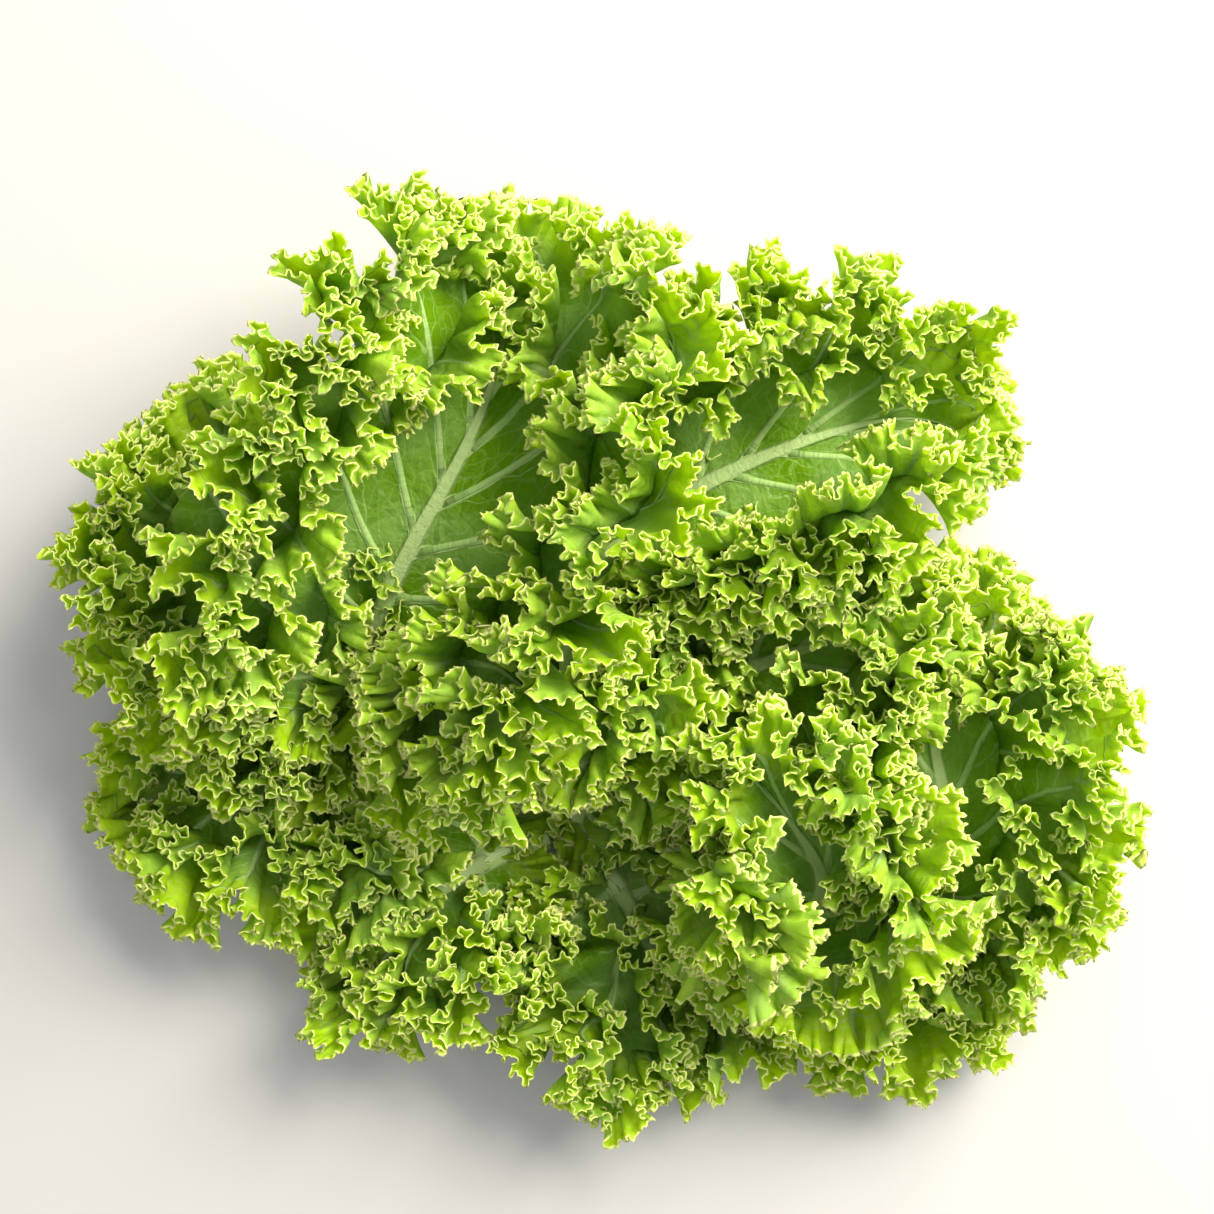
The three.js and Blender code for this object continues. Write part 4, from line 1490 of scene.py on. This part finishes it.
    def make(self) -> bpy.types.Material:
        """The material: a waxy surface, mixed with the light that comes through.

        Returns:
            The material.
        """
        add, from_margin = self.nodes.add, self.at["margin_mm"]
        bent = add("VectorMath", (self.drift, (self.net_bend, self.net_bend, 0.0), self.flat),
                   operation=Maths.TIMES_PLUS)
        net = add("TexVoronoi", {"Vector": bent, "Scale": 1 / self.net_mm}, "Distance",
                  feature="DISTANCE_TO_EDGE", voronoi_dimensions="2D")
        aside = self.beside_line(self.at["side_vein"], LINES_ON_WHOLE)
        rib = add("MapRange", (self.at["rib_mm"], *self.rib_edge_mm, 1.0, 0.0), **SMOOTH)
        coarse = add("Math", (self.side_veins(aside), rib), operation=Maths.LARGER)
        veins = add("Math", (self.fine_veins(aside, net), coarse), operation=Maths.LARGER)
        ragged = add("Math", (self.mottle, self.margin_ragged), operation=Maths.TIMES)
        ragged = add("Math", (from_margin, ragged), operation=Maths.PLUS)
        rim = add("MapRange", (ragged, self.margin_mm, self.margin_mm + self.margin_blur, 1.0, 0.0), **SMOOTH)
        bump = self.relief(coarse, net)
        wax = add("BsdfPrincipled", {
            "Base Color": self.body_colour(veins, rib, rim), "IOR": self.ior,
            "Specular IOR Level": self.shine, "Normal": bump,
            "Roughness": add("MapRange", (self.cloud, 0.3, 0.7, *self.roughness), **SMOOTH)})
        glow = self.nodes.layered(
            self.through_frill,
            (add("MapRange", (from_margin, *self.frill_mm), **SMOOTH), self.through_middle),
            (rim, self.margin), (veins, self.vein))
        through = add("BsdfTranslucent", {"Color": glow, "Normal": bump})
        share = add("MapRange", (from_margin, *self.thin_mm, *self.through), **SMOOTH)
        for thick, loss in ((veins, self.vein_shade), (rim, self.margin_shade)):
            less = add("Math", (thick, loss), operation=Maths.TIMES)
            share = add("Math", (share, less), operation=Maths.LESS)
        add("OutputMaterial", {"Surface": add("MixShader", (share, wax, through))})
        return self.nodes.material


@dataclass(frozen=True)
class KaleStalk:
    """Fleshy kale stalk, as it grows: smooth and full of water, so light sinks in a little.

    To the eye it is pale green and soft, with fine paler threads along it and a cream
    cut end.
    """

    flesh: str = "#abc566"
    thread: str = "#c6d9a0"
    cut_end: str = "#dfe6b8"
    thread_mm: float = 15 / 34          # across a thread where the stalk is thickest
    thread_length_mm: float = 200 / 21
    roughness: float = 0.38
    ior: float = 1.45
    sunk: float = 0.25                  # share of light that sinks in
    reach: tuple[float, float, float] = (0.003, 0.004, 0.0015)  # m that its red, green and blue go
    relief_strength: float = 0.4
    relief_depth: float = 0.0006        # m

    def make(self) -> bpy.types.Material:
        """The material.

        Returns:
            The material.
        """
        nodes = Nodes("Kale stalk")
        add = nodes.add
        turn, length, cut = (add("Attribute", (), "Fac", attribute_name=name)
                             for name in ("stalk_turn", "stalk_mm", "cut"))
        round_it = add("Math", (turn, STALK_RADIUS / self.thread_mm), operation=Maths.TIMES)
        along = add("Math", (length, 1 / self.thread_length_mm), operation=Maths.TIMES)
        place = add("CombineXYZ", (round_it, along))
        threads = add("TexNoise", {"Vector": place, "Scale": 1.0, "Detail": 3.0}, "Fac")
        body = nodes.layered(
            self.flesh, (add("MapRange", (threads, 0.35, 0.65), **SMOOTH), self.thread),
            (add("MapRange", (cut, 0.0, 0.25), **SMOOTH), self.cut_end))
        bump = add("Bump", {
            "Height": threads, "Strength": self.relief_strength, "Distance": self.relief_depth})
        flesh = add("BsdfPrincipled", {
            "Base Color": body, "Roughness": self.roughness, "IOR": self.ior, "Normal": bump,
            "Subsurface Weight": self.sunk, "Subsurface Radius": self.reach, "Subsurface Scale": 1.0})
        add("OutputMaterial", {"Surface": flesh})
        return nodes.material


# ---- Studio ---------------------------------------------------------------

@dataclass
class Studio:
    """A pale floor, soft light and the camera looking down on the bunch. Places are in metres."""

    camera_at: tuple[float, float, float] = (0.0043, 0.0169, 0.62)
    field_of_view: float = 38.3     # degrees
    sensor_mm: float = 36.0
    window_size: float = 0.9        # of the light
    window_power: float = 54.0
    window_at: tuple[float, float, float] = (0.75, 0.7, 0.95)
    window_aim: tuple[float, float, float] = (0.0, 0.0, 0.05)
    window_colour: str = "#fffaf0"
    sky: float = 0.86
    sky_colour: str = "#f3f5fb"
    floor_half: float = 4.0
    floor_colour: str = "#b4b2ad"
    floor_roughness: float = 0.8

    def place(self, name: str, data: bpy.types.ID, at: Matrix) -> bpy.types.Object:
        """Links a new object to the scene.

        Args:
            name: its name.
            data: its mesh, light or camera.
            at: its place and turn.

        Returns:
            The object.
        """
        holder = bpy.data.objects.new(name, data)
        holder.matrix_world = at
        bpy.context.scene.collection.objects.link(holder)
        return holder

    def floor(self) -> None:
        """A plain pale floor, just under the bunch."""
        far = self.floor_half
        mesh = bpy.data.meshes.new("floor")
        mesh.from_pydata([(-far, -far, 0), (far, -far, 0), (far, far, 0), (-far, far, 0)], [],
                         [(0, 1, 2, 3)])
        material = bpy.data.materials.new("Matt pale board")
        material.use_nodes = True
        shader = material.node_tree.nodes["Principled BSDF"]
        shader.inputs["Base Color"].default_value = linear(self.floor_colour)
        shader.inputs["Roughness"].default_value = self.floor_roughness
        mesh.materials.append(material)
        floor = self.place("floor", mesh, Matrix())

    def window(self) -> None:
        """A square soft light that faces the middle of the bunch."""
        lamp = bpy.data.lights.new("window", "AREA")
        lamp.size = self.window_size
        lamp.energy = self.window_power
        lamp.color = linear(self.window_colour)[:3]
        aim = Vector(self.window_aim) - Vector(self.window_at)
        turn = aim.to_track_quat("-Z", "Y").to_matrix().to_4x4()
        self.place("window", lamp, Matrix.Translation(self.window_at) @ turn)

    def soft_sky(self) -> None:
        """Even, slightly cool light from all sides."""
        world = bpy.data.worlds.new("soft sky")
        world.use_nodes = True
        sky = world.node_tree.nodes["Background"]
        sky.inputs["Color"].default_value = linear(self.sky_colour)
        sky.inputs["Strength"].default_value = self.sky
        bpy.context.scene.world = world

    def camera(self) -> None:
        """A camera straight above, with as long a lens as its field of view asks."""
        camera = bpy.data.cameras.new("camera")
        camera.sensor_width = self.sensor_mm
        camera.lens = self.sensor_mm / 2 / math.tan(math.radians(self.field_of_view / 2))
        bpy.context.scene.camera = self.place("camera", camera, Matrix.Translation(self.camera_at))

    def build(self) -> None:
        """Makes the floor, the light, the sky and the camera."""
        self.floor()
        self.window()
        self.soft_sky()
        self.camera()
        bpy.context.scene.view_settings.view_transform = "Standard"


def main() -> None:
    """Builds the studio and the leaves in order."""
    logging.basicConfig(level=logging.INFO, format="%(name)s: %(message)s")
    Studio().build()
    materials = [KaleTissue().make(), KaleStalk().make()]
    total = 0
    for plan in LEAF_PLANS:
        parts = leaf_parts(plan)
        piece = make_piece(plan.node + "_frilled", parts, materials)
        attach(piece, "root")
        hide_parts(plan.node)
        faces = sum(len(part.faces) for part in parts)
        total += faces
        log.info("%s: %d shells, %d triangles", piece.name, len(parts), faces)
    log.info("in all %d triangles", total)


if __name__ == "__main__":
    main()
